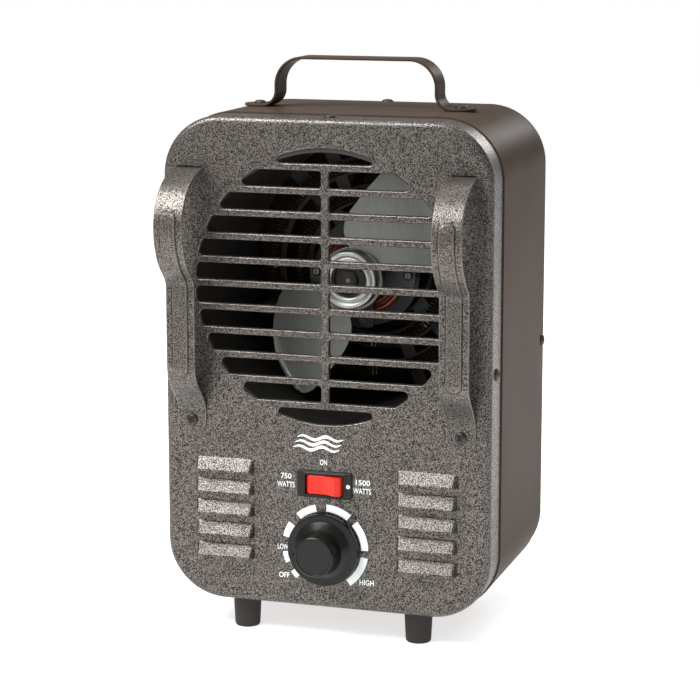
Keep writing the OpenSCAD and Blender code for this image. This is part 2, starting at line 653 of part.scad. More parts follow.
front_bracket_d = 72;
stack_d = 82;                // front of the lamination stack
stack_t = 20;
rotor_r = 15;
stator_r = 33;
winding_r = 25.5;
winding_t = 7;               // how far the winding stands out of the stack
bracket_t = 1.2;
bearing_r = shaft_r + 3.5;
bearing_t = 6;
bolt_circle = 28.8;
bolt_r = 1.8;
rear_bracket_d = duct_end - bracket_t;
module motor_rotor() color("#9a9a97") ring_y(0, fan_z, stack_d, stack_d + stack_t, rotor_r, shaft_r);
module motor_bolt_holes(d0, d1) for (a = [0:90:270])
    rotate_fan(a) bar_y(bolt_circle, 0, d0, d1, bolt_r + hole_gap);
module motor_stator() color("#5a5d60") difference() {
    ring_y(0, fan_z, stack_d, stack_d + stack_t, stator_r, rotor_r + 0.4);
    motor_bolt_holes(stack_d - cut, stack_d + stack_t + cut);
}
module motor_winding() color("#a04a2c")
    for (d = [stack_d - winding_t, stack_d + stack_t]) ring_y(0, fan_z, d, d + winding_t, winding_r, rotor_r + 1.5);
module bracket(d) difference() {
    intersection() {
        bar_y(0, fan_z, d, d + bracket_t, stator_r);
        union() for (a = [0, 90]) rotate_fan(a) block(-40, 40, d, d + bracket_t, -7, 7);
    }
    bar_y(0, fan_z, d - cut, d + bracket_t + cut, bearing_r + slip);
    motor_bolt_holes(d - cut, d + bracket_t + cut);
}
module motor_front_bracket() color("#8a8a86") bracket(front_bracket_d);
module motor_rear_bracket() color("#8a8a86") bracket(rear_bracket_d);
module bearing(d) ring_y(0, fan_z, d, d + bearing_t, bearing_r, shaft_r + slip);
module front_bearing() color("#b08a4a") bearing(front_bracket_d - bearing_t / 2);
module rear_bearing() color("#b08a4a") bearing(rear_bracket_d - bearing_t / 2);
module motor_bolts() color("#8a8a86") for (a = [0:90:270]) rotate_fan(a)
    translate([bolt_circle, y(front_bracket_d), 0]) rotate([90, 0, 0])
        screw(duct_end + spider_t + 3 - front_bracket_d, bolt_r, 3, 1.6);

// ---------------------------------------------------------------- heating element
coil_d = 92;                 // depth of the coils' centre
coil_r = 4;                  // outer radius of the wound wire
// the coils' rings share the room between the motor and the duct
inner_coil_ring = stator_r + (duct_r - stator_r) * 0.275;
outer_coil_ring = stator_r + (duct_r - stator_r) * 0.65;
ring_half = coil_r + 1;      // half of the width of the rings that carry them
ring_t = 1.2;
module heating_coil(ring) color("#6a5a50")
    translate([0, y(coil_d), fan_z]) rotate([-90, 0, 0]) rotate_extrude($fn = 96) translate([ring, 0]) circle(coil_r, $fn = 24);
module inner_heating_coil() heating_coil(inner_coil_ring);
module outer_heating_coil() heating_coil(outer_coil_ring);
insulator_r = 3;
insulator_angles = [0:45:315];
ring_d = coil_d + coil_r + 4;
module heater_ring() color("#8f8a7e") {
    arm_end = duct_r - 0.3;
    for (r = [inner_coil_ring, outer_coil_ring])
        ring_y(0, fan_z, ring_d, ring_d + ring_t, r + ring_half, r - ring_half);
    for (a = [22.5:90:292.5]) rotate_fan(a) {
        block(inner_coil_ring - ring_half, arm_end, ring_d, ring_d + ring_t, -4, 4);
        block(arm_end - ring_t, arm_end, ring_d, ring_d + 8, -4, 4);
    }
}
module coil_insulators() color("#e4dfd2") for (a = insulator_angles, r = [inner_coil_ring, outer_coil_ring])
    rotate_fan(a) bar_y(r, 0, coil_d + coil_r, ring_d, insulator_r);

// ---------------------------------------------------------------- lower compartment
shield_t = 0.8;
shield_z = fan_z - duct_r - duct_rim - fit_gap - shield_t;
module heat_shield() color("#a8a6a0") {
    x1 = panel_w / 2 + sleeve_in;
    d0 = housing_depth + tab_len + 2;
    d1 = case_depth - rear_flange - sheet;
    block(-x1, x1, d0, d1, shield_z, shield_z + shield_t);
    for (s = [-1, 1]) block(s > 0 ? x1 - shield_t : -x1, s > 0 ? x1 : shield_t - x1, d0, d1, shield_z - 10, shield_z);
}
limiter_x = 30;              // place of the thermal cutoff, and of the fuse on the other side
limiter_d = coil_d + 4;
module thermal_cutoff() color("#3a3a3c") translate([limiter_x, y(limiter_d), shield_z + shield_t]) {
    cylinder(h = 4, r = 8);
    translate([-12, -3, 0]) cube([24, 6, 1.2]);
}
fuse_r = 2.5;
module thermal_fuse() color("#c9b48a") translate([-limiter_x, y(limiter_d), shield_z + shield_t + fuse_r])
    rotate([0, 90, 0]) cylinder(h = 12, r = fuse_r, center = true);

floor_z = panel_z0 - sleeve_in;        // inside of the sleeve's floor
tip_x = -48;
tip_d = rear_foot_d - 22;              // clear of the rear feet's screws
pendulum_r = 6;
pivot_z = 34;                // height of the pendulum's pin above the switch's base
pin_r = 1.5;
module tip_switch_body() color("#2d2d30") translate([tip_x, y(tip_d), floor_z]) difference() {
    translate([-13, -16, 0]) cube([26, 32, 42]);
    translate([-9, -13, 3]) cube([18, 26, 42]);
    translate([-20, 0, pivot_z]) rotate([0, 90, 0]) cylinder(h = 40, r = pin_r + slip);
}
module tip_switch_pin() color("#b9b9b6") translate([tip_x - 13, y(tip_d), floor_z + pivot_z])
    rotate([0, 90, 0]) cylinder(h = 26, r = pin_r);
module tip_pendulum() color("#8a8a86") translate([tip_x, y(tip_d), floor_z + pivot_z]) difference() {
    union() {
        rotate([0, 90, 0]) cylinder(h = 10, r = 4, center = true);
        translate([-2, -1.5, -24]) cube([4, 3, 22]);
        translate([0, 0, -24]) rotate([0, 90, 0]) cylinder(h = 12, r = pendulum_r, center = true);
    }
    rotate([0, 90, 0]) cylinder(h = 20, r = pin_r + slip, center = true);
}
terminal_x = 24;
module terminal_block() color("#d9d4c6") translate([terminal_x, y(rear_foot_d - 29.5), floor_z]) difference() {
    cube([34, 16, 14]);
    for (i = [0:2]) translate([6 + i * 11, 8, 5]) cylinder(h = 20, r = 2.6);
}

gland_bore = 3.9;
module cord_gland() color("#23221f") difference() {
    union() {
        bar_y(gland_x, gland_z, case_depth, case_depth + gland_out, gland_r + 2.5, gland_r + 1.2);
        bar_y(gland_x, gland_z, case_depth - 7, case_depth, gland_r);
    }
    bar_y(gland_x, gland_z, case_depth - 8, case_depth + gland_out + cut, gland_bore);
}

// ---------------------------------------------------------------- drawing
front_panel();
case_sleeve();
rear_cover();
left_guard_bar();
right_guard_bar();
guard_bar_screws();
carry_handle();
handle_screws();
front_panel_screws();
rear_cover_screws();
front_left_foot();
front_right_foot();
rear_left_foot();
rear_right_foot();
foot_screws();
switch_housing();
rocker_button();
switch_terminals();
control_knob();
thermostat_shaft();
thermostat_bushing();
thermostat_nut();
thermostat_body();
thermostat_terminals();
air_duct();
duct_rivets();
motor_spider();
spider_screws();
fan_hub();
fan_blades();
fan_nut();
motor_shaft();
motor_rotor();
motor_stator();
motor_winding();
motor_front_bracket();
motor_rear_bracket();
front_bearing();
rear_bearing();
motor_bolts();
heater_ring();
inner_heating_coil();
outer_heating_coil();
coil_insulators();
heat_shield();
thermal_cutoff();
thermal_fuse();
tip_switch_body();
tip_switch_pin();
tip_pendulum();
terminal_block();
cord_gland();
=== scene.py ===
"""Portable fan heater: its visible surfaces, finishes, light and camera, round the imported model.

Sizes and places are in millimetres until a mesh is made. The front faces -Y and +Z is up."""

import json
import math

import bmesh
import bpy
import numpy as np
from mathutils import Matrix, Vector
from mathutils.geometry import tessellate_polygon


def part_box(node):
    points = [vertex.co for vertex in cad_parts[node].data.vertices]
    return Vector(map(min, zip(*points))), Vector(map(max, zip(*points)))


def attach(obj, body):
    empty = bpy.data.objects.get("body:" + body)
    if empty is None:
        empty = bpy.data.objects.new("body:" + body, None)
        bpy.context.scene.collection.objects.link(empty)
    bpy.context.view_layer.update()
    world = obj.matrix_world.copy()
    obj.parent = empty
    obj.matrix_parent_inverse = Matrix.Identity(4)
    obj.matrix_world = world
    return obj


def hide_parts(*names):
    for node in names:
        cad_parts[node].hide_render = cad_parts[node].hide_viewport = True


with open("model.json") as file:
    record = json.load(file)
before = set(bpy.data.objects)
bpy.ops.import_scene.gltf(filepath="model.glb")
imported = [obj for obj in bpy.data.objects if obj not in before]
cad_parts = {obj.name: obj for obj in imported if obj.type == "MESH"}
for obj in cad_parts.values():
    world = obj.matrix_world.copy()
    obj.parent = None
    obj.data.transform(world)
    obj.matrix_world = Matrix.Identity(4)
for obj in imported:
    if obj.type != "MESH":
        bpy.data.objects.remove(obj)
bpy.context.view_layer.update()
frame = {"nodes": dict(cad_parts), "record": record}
MM = 0.001


def corners(node):
    """Lowest and highest corner of a CAD node."""
    return [np.array(corner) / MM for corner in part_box(node)]


# ---------------------------------------------------------------- camera
AZIMUTH = 17.7               # degrees, from straight in front towards +X
PITCH = 9.95                 # degrees that the camera looks down
DISTANCE = 1.357             # metres
TARGET = Vector((-0.0004, 0, 0.1842))
camera_data = bpy.data.cameras.new("camera")
camera_data.lens = 117.9
camera_data.sensor_width = 36
camera_data.shift_y = -0.05
camera = bpy.data.objects.new("camera", camera_data)
bpy.context.scene.collection.objects.link(camera)
bpy.context.scene.camera = camera
azimuth, pitch = math.radians(AZIMUTH), math.radians(PITCH)
towards_camera = Vector((math.sin(azimuth) * math.cos(pitch), -math.cos(azimuth) * math.cos(pitch),
                         math.sin(pitch)))
camera.location = TARGET + DISTANCE * towards_camera
camera.rotation_euler = (-towards_camera).to_track_quat("-Z", "Y").to_euler()


# ---------------------------------------------------------------- finishes
def linear(colour):
    """Linear red, green, blue and alpha of an sRGB hex colour."""
    values = np.array([int(colour[i:i + 2], 16) / 255 for i in (1, 3, 5)])
    values = np.where(values <= 0.04045, values / 12.92, ((values + 0.055) / 1.055) ** 2.4)
    return (*values.tolist(), 1)


def add(tree, kind, inputs=None, **settings):
    """Adds a node. Settings are its properties; inputs are values, or other nodes' outputs to link."""
    made = tree.nodes.new(kind)
    for key, value in settings.items():
        setattr(made, key, value)
    for socket, value in (inputs or {}).items():
        if isinstance(value, bpy.types.NodeSocket):
            tree.links.new(value, made.inputs[socket])
        else:
            made.inputs[socket].default_value = value
    return made


def finish(name, **values):
    """A material whose values are set on its Principled shader's own sockets, its node tree and its object
    coordinates."""
    material = bpy.data.materials.new(name)
    material.use_nodes = True
    tree = material.node_tree
    for socket, value in values.items():
        tree.nodes["Principled BSDF"].inputs[socket.replace("_", " ")].default_value = value
    return material, tree, add(tree, "ShaderNodeTexCoord").outputs["Object"]


def dressed(material, colour, gloss, relief):
    """The material, with its colour, its roughness and its bump linked to its shader."""
    tree = material.node_tree
    shader = tree.nodes["Principled BSDF"]
    tree.links.new(colour.outputs[2], shader.inputs["Base Color"])
    tree.links.new(gloss.outputs[0], shader.inputs["Roughness"])
    tree.links.new(relief.outputs[0], shader.inputs["Normal"])
    return material


def size(millimetres):
    """Texture scale whose features are about this large."""
    return 1 / (millimetres * MM)


def hammertone_enamel(name, painted_edge_shading):
    """Stoved hammertone enamel: pooled aluminium flake leaves light veins round dark grains of about a
    millimetre, which break every highlight into sparkle. Its second argument is painted light: how much
    lighter the colour is painted on convex edges, as a painted highlight, and how much darker in creases, as
    painted shade."""
    material, tree, place = finish(name, Metallic=0.65, Specular_IOR_Level=0.4, Coat_Weight=0.08,
                                   Coat_Roughness=0.3)
    grain = add(tree, "ShaderNodeTexNoise", {"Vector": place, "Scale": size(0.65), "Detail": 2,
                                             "Roughness": 0.6})
    pools = add(tree, "ShaderNodeTexNoise", {"Vector": place, "Scale": size(14), "Detail": 2})
    fleck = add(tree, "ShaderNodeMapRange", {"Value": grain.outputs[0], "From Min": 0.43, "From Max": 0.58})
    # painted light: the surface's curvature lightens convex edges as a painted highlight and darkens creases
    # as painted shade
    creases = add(tree, "ShaderNodeNewGeometry")
    painted_edge_light = add(tree, "ShaderNodeMapRange", {"Value": creases.outputs["Pointiness"], "From Min": 0.46,
                                                "From Max": 0.54, "To Min": -painted_edge_shading, "To Max": painted_edge_shading})
    flakes_with_edge_light = add(tree, "ShaderNodeMath", {0: fleck.outputs[0], 1: painted_edge_light.outputs[0]}, use_clamp=True)
    paint = add(tree, "ShaderNodeMix", {0: flakes_with_edge_light.outputs[0], 6: linear("#191512"), 7: linear("#6f6964")},
                data_type="RGBA")
    shade = add(tree, "ShaderNodeMapRange", {"Value": pools.outputs[0], "To Min": 0.82, "To Max": 1.1})
    cloud = add(tree, "ShaderNodeMix", {0: 1.0, 6: paint.outputs[2], 7: shade.outputs[0]},
                data_type="RGBA", blend_type="MULTIPLY")
    gloss = add(tree, "ShaderNodeMapRange", {"Value": fleck.outputs[0], "To Min": 0.48, "To Max": 0.3})
    relief = add(tree, "ShaderNodeBump", {"Height": grain.outputs[0], "Strength": 0.5, "Distance": 0.3 * MM})
    return dressed(material, cloud, gloss, relief)


def satin_case_paint():
    """Satin dark brown powder coat on rolled sheet: a fine orange peel softens highlights, and the sheet's
    slow waves bend them a little."""
    material, tree, place = finish("satin_case_paint", Specular_IOR_Level=0.02)
    peel = add(tree, "ShaderNodeTexNoise", {"Vector": place, "Scale": size(2.2), "Detail": 2})
    waves = add(tree, "ShaderNodeTexNoise", {"Vector": place, "Scale": size(90), "Detail": 1})
    dust = add(tree, "ShaderNodeTexNoise", {"Vector": place, "Scale": size(30), "Detail": 4})
    tint = add(tree, "ShaderNodeMix", {0: dust.outputs[0], 6: linear("#372b24"), 7: linear("#483c32")},
               data_type="RGBA")
    gloss = add(tree, "ShaderNodeMapRange", {"Value": dust.outputs[0], "To Min": 0.34, "To Max": 0.46})
    bend = add(tree, "ShaderNodeBump", {"Height": waves.outputs[0], "Strength": 0.25, "Distance": 4 * MM})
    relief = add(tree, "ShaderNodeBump", {"Height": peel.outputs[0], "Strength": 0.25, "Distance": 0.2 * MM,
                                          "Normal": bend.outputs[0]})
    return dressed(material, tint, gloss, relief)


def mottled(name, dark, light, grain_mm, rough, bump, **values):
    """A material whose colour wanders between two tones, whose gloss wanders with it, and whose surface has
    a fine grain of the given size."""
    material, tree, place = finish(name, **values)
    tone = add(tree, "ShaderNodeTexNoise", {"Vector": place, "Scale": size(grain_mm * 8), "Detail": 4})
    grain = add(tree, "ShaderNodeTexNoise", {"Vector": place, "Scale": size(grain_mm), "Detail": 2})
    tint = add(tree, "ShaderNodeMix", {0: tone.outputs[0], 6: linear(dark), 7: linear(light)},
               data_type="RGBA")
    gloss = add(tree, "ShaderNodeMapRange", {"Value": tone.outputs[0], "To Min": rough[0],
                                             "To Max": rough[1]})
    relief = add(tree, "ShaderNodeBump", {"Height": grain.outputs[0], "Strength": bump, "Distance": 0.1 * MM})
    return dressed(material, tint, gloss, relief)


def lined(name, dark, light, line_mm, axis, rough, bump, **values):
    """A material with fine parallel lines across an axis, as rolling, turning or stacking leaves them."""
    material, tree, place = finish(name, **values)
    stretch = [0.02, 0.02, 0.02]
    stretch["XYZ".index(axis)] = 1.0
    along = add(tree, "ShaderNodeMapping", {"Vector": place, "Scale": stretch})
    lines = add(tree, "ShaderNodeTexNoise", {"Vector": along.outputs[0], "Scale": size(line_mm), "Detail": 3})
    tint = add(tree, "ShaderNodeMix", {0: lines.outputs[0], 6: linear(dark), 7: linear(light)},
               data_type="RGBA")
    gloss = add(tree, "ShaderNodeMapRange", {"Value": lines.outputs[0], "To Min": rough[0],
                                             "To Max": rough[1]})
    relief = add(tree, "ShaderNodeBump", {"Height": lines.outputs[0], "Strength": bump,
                                          "Distance": 0.05 * MM})
    return dressed(material, tint, gloss, relief)


FINISHES = {
    "hammered_paint": hammertone_enamel("hammertone_enamel", 0.0),
    "case_paint": satin_case_paint(),
    # oxide-blackened steel: near black, with a dull metal sheen on the heads' edges
    "dark_screw": mottled("blackened_steel", "#2b2725", "#4a4542", 0.6, (0.35, 0.5), 0.2, Metallic=0.8),
    # zinc plate: grey with a slight cloudiness, painted darker than bare zinc as painted shade of the case's
    # dark inside
    "zinc_steel": mottled("zinc_plate_in_painted_shade", "#63635f", "#84847f", 0.8, (0.4, 0.55), 0.15, Metallic=1.0),
    # hot-dip galvanised sheet with broad spangle, painted dark grey as painted shade of the case's dark
    # inside
    "galvanised": mottled("galvanised_sheet_in_painted_shade", "#3f4041", "#595b5b", 2.5, (0.45, 0.6), 0.2, Metallic=1.0),
    # heat-proof stove black: flat and slightly sooty
    "duct_black": mottled("stove_black", "#14120f", "#25211d", 1.2, (0.6, 0.8), 0.3),
    # moulded rubber: matt, near black, with a fine grain
    "foot_rubber": mottled("moulded_rubber", "#1c1917", "#2a2623", 0.7, (0.6, 0.75), 0.3,
                           Specular_IOR_Level=0.3),
    # moulded ABS: black with a soft sheen and a very fine texture
    "black_plastic": mottled("moulded_abs", "#0f100e", "#171815", 0.6, (0.24, 0.34), 0.15,
                             Specular_IOR_Level=0.2),
    # moulded polycarbonate: clear red, a little light passes into it
    "red_plastic": mottled("red_polycarbonate", "#b81a0c", "#cc2a16", 1.5, (0.24, 0.34), 0.08,
                           Subsurface_Weight=0.1, Subsurface_Scale=0.001, Specular_IOR_Level=0.25),
    # screen-printed ink: matt off-white that follows the enamel's grain
    "white_print": mottled("printed_ink", "#c9cfd0", "#eef2f2", 1.2, (0.5, 0.65), 0.4),
    # turned brass: warm yellow metal, lightly tarnished
    "brass": lined("turned_brass", "#4e3c20", "#7d6336", 0.5, "Y", (0.35, 0.5), 0.15, Metallic=1.0),
    # dull rolled aluminium: grey with faint rolling lines
    "fan_aluminium": lined("rolled_aluminium", "#747671", "#92948e", 0.9, "X", (0.4, 0.55), 0.15,
                           Metallic=0.55),
    # dull drawn steel: a soft sheen with faint draw rings
    "hub_steel": lined("drawn_steel", "#a9aaa7", "#c8c9c6", 0.7, "Y", (0.38, 0.48), 0.06, Metallic=1.0),
    # stacked silicon-steel laminations: dark edges every half millimetre along the stack
    "lamination_steel": lined("laminated_steel", "#222323", "#4a4b4c", 0.5, "Y", (0.4, 0.55), 0.6,
                              Metallic=0.8),
    # varnished copper magnet wire: red-brown, glossy, in fine turns
    "enamelled_copper": lined("magnet_wire", "#4a160b", "#9c3f22", 0.6, "Y", (0.2, 0.35), 0.8, Metallic=0.4,
                              Coat_Weight=0.4),
    # oxidised nickel-chromium wire: its own dark brown-grey oxide with a heat bloom, painted darker still as
    # painted shade of the case's dark inside
    "resistance_wire": mottled("nichrome_oxide_in_painted_shade", "#1c1511", "#3b2b20", 1.5, (0.4, 0.55), 0.2, Metallic=0.6),
    # fired steatite: chalky cream with a thin gloss
    "ceramic": mottled("steatite", "#cfc8b4", "#e6e0d0", 1.0, (0.35, 0.5), 0.2),
    # mica board: flaky layers, painted dark brown rather than its own tan as painted shade of the case's dark
    # inside
    "mica": mottled("mica_board_in_painted_shade", "#221d17", "#3a3226", 1.8, (0.4, 0.6), 0.3),
}


# ---------------------------------------------------------------- surfaces
def grid(points, close_rows=False, close_columns=False):
    """Vertices and quads of a surface given as a (rows, columns, 3) array of points."""
    rows, columns = points.shape[:2]
    r, c = np.meshgrid(np.arange(rows - (not close_rows)), np.arange(columns - (not close_columns)),
                       indexing="ij")
    down, right = (r + 1) % rows, (c + 1) % columns
    quads = np.stack([r * columns + c, r * columns + right, down * columns + right, down * columns + c],
                     axis=-1)
    return points.reshape(-1, 3), quads.reshape(-1, 4)


def border(points):
    """The points round the edge of a grid, as one closed loop."""
    return np.concatenate([points[0, :-1], points[:-1, -1], points[-1, :0:-1], points[:0:-1, 0]])


def slab(front, back):
    """Closed plate between two grids of the same shape."""
    rim = np.stack([border(front), border(back)])
    return [grid(front), grid(back), grid(rim, close_columns=True)]


def cap(ring):
    """One face over a ring of points."""
    return ring, np.arange(len(ring))[None]


def piece(name, parts, body, slot, replaces=(), sharp=35):
    """Joins surfaces into one object: doubles merged, faces outwards, flat areas shaded flat."""
    mesh = bpy.data.meshes.new(name)
    starts = np.cumsum([0] + [len(points) for points, _ in parts])
    polygons = []
    for start, (_, part) in zip(starts, parts):
        polygons += (np.asarray(part) + start).tolist()
    mesh.from_pydata((np.concatenate([points for points, _ in parts]) * MM).tolist(), [], polygons)
    shape = bmesh.new()
    shape.from_mesh(mesh)
    bmesh.ops.remove_doubles(shape, verts=shape.verts, dist=0.002 * MM)
    bmesh.ops.dissolve_degenerate(shape, edges=shape.edges, dist=0.0005 * MM)
    bmesh.ops.recalc_face_normals(shape, faces=shape.faces)
    shape.to_mesh(mesh)
    shape.free()
    mesh.shade_smooth()
    mesh.set_sharp_from_angle(angle=math.radians(sharp))
    made = bpy.data.objects.new(name, mesh)
    bpy.context.scene.collection.objects.link(made)
    even = made.modifiers.new("even_shading", "WEIGHTED_NORMAL")
    even.keep_sharp = True
    made.data.materials.append(FINISHES[slot])
    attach(made, body)
    if replaces:
        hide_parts(*replaces)
    return made


# Outlines in the front view are closed rows of arcs, each (centre x, centre z, radius, start, end) with its
# angles in degrees, joined by straight lines.
def rounded_box(x, z, width, height, radius):
    """Outline of a box with round corners."""
    a, b = width / 2 - radius, height / 2 - radius
    return [(x + a, z + b, radius, 0, 90), (x - a, z + b, radius, 90, 180),
            (x - a, z - b, radius, 180, 270), (x + a, z - b, radius, 270, 360)]


def disc(x, z, radius):
    """Outline of a circle."""
    return [(x, z, radius, 0, 180), (x, z, radius, 180, 360)]


def trace(outline, grow=0.0):
    """Points (x, z) of an outline whose arcs have all grown, with chords 0.01 mm from the arc."""
    runs = []
    for x, z, radius, start, end in outline:
        span = math.radians(abs(end - start))
        count = max(2, math.ceil(span / (2 * math.sqrt(2 * 0.01 / radius)))) + 1
        angle = np.radians(np.linspace(start, end, count))
        runs.append(np.stack([x + (radius + grow) * np.cos(angle), z + (radius + grow) * np.sin(angle)],
                             axis=1))
    points = np.concatenate(runs)
    return points[np.linalg.norm(points - np.roll(points, -1, axis=0), axis=1) > 1e-4]


def at_depth(points, y):
    """Points (x, z) placed at one y."""
    return np.insert(points, 1, y, axis=1)


def loft(outline, profile):
    """Surface that carries a profile of (growth, y) pairs round an outline."""
    return grid(np.stack([at_depth(trace(outline, grow), y) for grow, y in profile]), close_columns=True)


def fill(y, outer, holes=()):
    """Flat surface at one y, from an outer loop to the loops of its holes."""
    loops = [outer, *holes]
    triangles = tessellate_polygon([[Vector((x, z, 0)) for x, z in loop] for loop in loops])
    return at_depth(np.concatenate(loops), y), np.array(triangles)


def bend(grow, y, radius, start, end, steps=6):
    """Points (growth, y) of a round bend in a profile."""
    angle = np.radians(np.linspace(start, end, steps + 1))
    return list(zip(grow + radius * np.cos(angle), y + radius * np.sin(angle)))


def square_to(axis):
    """An axis, and two unit vectors square to it and to each other."""
    axis = np.array(axis, float)
    side = np.cross(axis, (0.0, 0.0, 1.0) if abs(axis[2]) < 0.9 else (1.0, 0.0, 0.0))
    side /= np.linalg.norm(side)
    return axis, side, np.cross(axis, side)


def revolve(profile, centre, axis, steps=64):
    """Surface of a profile of (radius, distance along the axis) pairs turned round an axis."""
    axis, side, other = square_to(axis)
    turn = np.linspace(0, 2 * np.pi, steps, endpoint=False)[None, :, None]
    radius, along = np.array(profile, float).T[:, :, None, None]
    points = np.array(centre, float) + radius * (np.cos(turn) * side + np.sin(turn) * other) + along * axis
    return grid(points, close_columns=True)


def smooth_step(t):
    """Runs from 0 to 1 as t does, level at both ends: 3 t squared less 2 t cubed."""
    t = np.clip(t, 0, 1)
    return t * t * (3 - 2 * t)


# ---------------------------------------------------------------- places, from the frame
SHEET = 1.0                  # thickness of the pans' sheet
FRONT_FLANGE = 22
REAR_FLANGE = 16
REAR_STEP = 4                # from the sleeve's rear end to the rear face
GRILLE_LIFT = 2              # the grille's centre, above the fan's
BEND_R = 3.6
CORNER_R = 35
panel_low, panel_high = corners("front_panel")
sleeve_high = corners("case_sleeve")[1]
panel_w, panel_h = (panel_high - panel_low)[[0, 2]]
bottom, top = panel_low[2], panel_high[2]
middle_z = (bottom + top) / 2
face = panel_high[1] - FRONT_FLANGE
rear = sleeve_high[1] + REAR_STEP
fan_z = sum(corners("air_duct"))[2] / 2
grille_z = fan_z + GRILLE_LIFT
switch_z = sum(corners("switch_housing"))[2] / 2
dial_z = sum(corners("thermostat_shaft"))[2] / 2
case_outline = rounded_box(0, middle_z, panel_w, panel_h, CORNER_R)


def rim(y, inward, flange):
    """Profile of a pan's bent edge, from its face round the bend, along the flange and back inside."""
    outer = [(grow, y + inward * d) for grow, d in bend(-BEND_R, BEND_R, BEND_R, -90, 0)]
    inner = [(grow, y + inward * d) for grow, d in bend(-BEND_R, BEND_R, BEND_R - SHEET, 0, -90)]
    edge = [(0, flange - 0.3), (-0.3, flange), (0.3 - SHEET, flange), (-SHEET, flange - 0.3)]
    return outer + [(grow, y + inward * d) for grow, d in edge] + inner


def lip(y, inward, roll, depth, wall):
    """Profile of a hole's rolled edge, from the face over the roll and down to the sheet's back."""
    over = [(grow, y + inward * d) for grow, d in bend(roll, roll, roll, -90, -180)]
    return over + [(0, y + inward * depth), (wall, y + inward * depth), (wall, y + inward * SHEET)]


def pan(y, inward, flange, holes, raised=()):
    """Sheet-metal pan. Its holes are (outline, roll, depth, wall), and its pressings are (outer grid, inner
    grid, surfaces)."""
    front = [trace(outline, roll) for outline, roll, _, _ in holes]
    front += [border(outer)[:, [0, 2]] for outer, _, _ in raised]
    back = [trace(outline, wall) for outline, _, _, wall in holes]
    back += [border(inner)[:, [0, 2]] for _, inner, _ in raised]
    parts = [loft(case_outline, rim(y, inward, flange)),
             fill(y, trace(case_outline, -BEND_R), front),
             fill(y + inward * SHEET, trace(case_outline, -BEND_R), back)]
    parts += [loft(outline, lip(y, inward, roll, depth, wall)) for outline, roll, depth, wall in holes]
    return parts + [surface for _, _, surfaces in raised for surface in surfaces]


# ---------------------------------------------------------------- front panel
GRILLE_R = 78.8
BAR_ROWS = 5                 # bars above and below the middle one
BAR_PITCH = 13.8
BAR_H = 4.2
MID_BAR_W = 4.9
SLOT_CORNER = 2.7            # at a slot's outer end
MID_CORNER = 1.7             # beside the upright bar
END_R = 79.8                 # reach of the slots above and below the bars
END_CORNER = 2.1
SLOT_EDGE = (1.2, 3.0, 0.8)  # roll, depth and wall of a slot's edge, bent inwards
PUNCHED = (0.3, SHEET, 0)    # the same of a hole that is only punched
SCREW_HOLE_R = 2.05
BUSHING_HOLE_R = 4.95


def half_slot(low, high, side):
    """Slot between two bars, from the upright bar out to the grille's circle, on one side."""
    reach = GRILLE_R - SLOT_CORNER
    inner = MID_BAR_W / 2 + MID_CORNER
    inner_low, inner_high = low + MID_CORNER, high - MID_CORNER
    low, high = low + SLOT_CORNER, high - SLOT_CORNER
    low_x, high_x = math.sqrt(reach ** 2 - low ** 2), math.sqrt(reach ** 2 - high ** 2)
    low_turn, high_turn = math.degrees(math.atan2(low, low_x)), math.degrees(math.atan2(high, high_x))
    arcs = [(inner, inner_low, MID_CORNER, 180, 270), (low_x, low, SLOT_CORNER, 270, 360 + low_turn),
            (0, 0, GRILLE_R, low_turn, high_turn), (high_x, high, SLOT_CORNER, high_turn, 90),
            (inner, inner_high, MID_CORNER, 90, 180)]
    if side < 0:
        arcs = [(-x, z, r, 180 - start, 180 - end) for x, z, r, start, end in arcs]
    return [(x, z + grille_z, r, start, end) for x, z, r, start, end in arcs]


def end_slot(up):
    """Slot between the outermost bar and the grille's circle, at its top or bottom."""
    low = BAR_ROWS * BAR_PITCH + BAR_H / 2 + END_CORNER
    x = math.sqrt((END_R - END_CORNER) ** 2 - low ** 2)
    turn = math.degrees(math.atan2(low, x))
    arcs = [(x, low, END_CORNER, -90, turn), (0, 0, END_R, turn, 180 - turn),
            (-x, low, END_CORNER, 180 - turn, 270)]
    if up < 0:
        arcs = [(x, -z, r, -start, -end) for x, z, r, start, end in arcs]
    return [(x, z + grille_z, r, start, end) for x, z, r, start, end in arcs]


LOUVER_X = 61.5
LOUVER_W = 36
LOUVER_COUNT = 5
LOUVER_PITCH = 12.9
LOUVER_RISE = 26.4           # from the panel's lower edge to the lowest louver
LOUVER_H = 8.2
LOUVER_OUT = face - panel_low[1]
SHOULDER = 2.6               # length of a louver's rounded ends
SILL = 0.7                   # height of the sheet's edge above a louver's lip


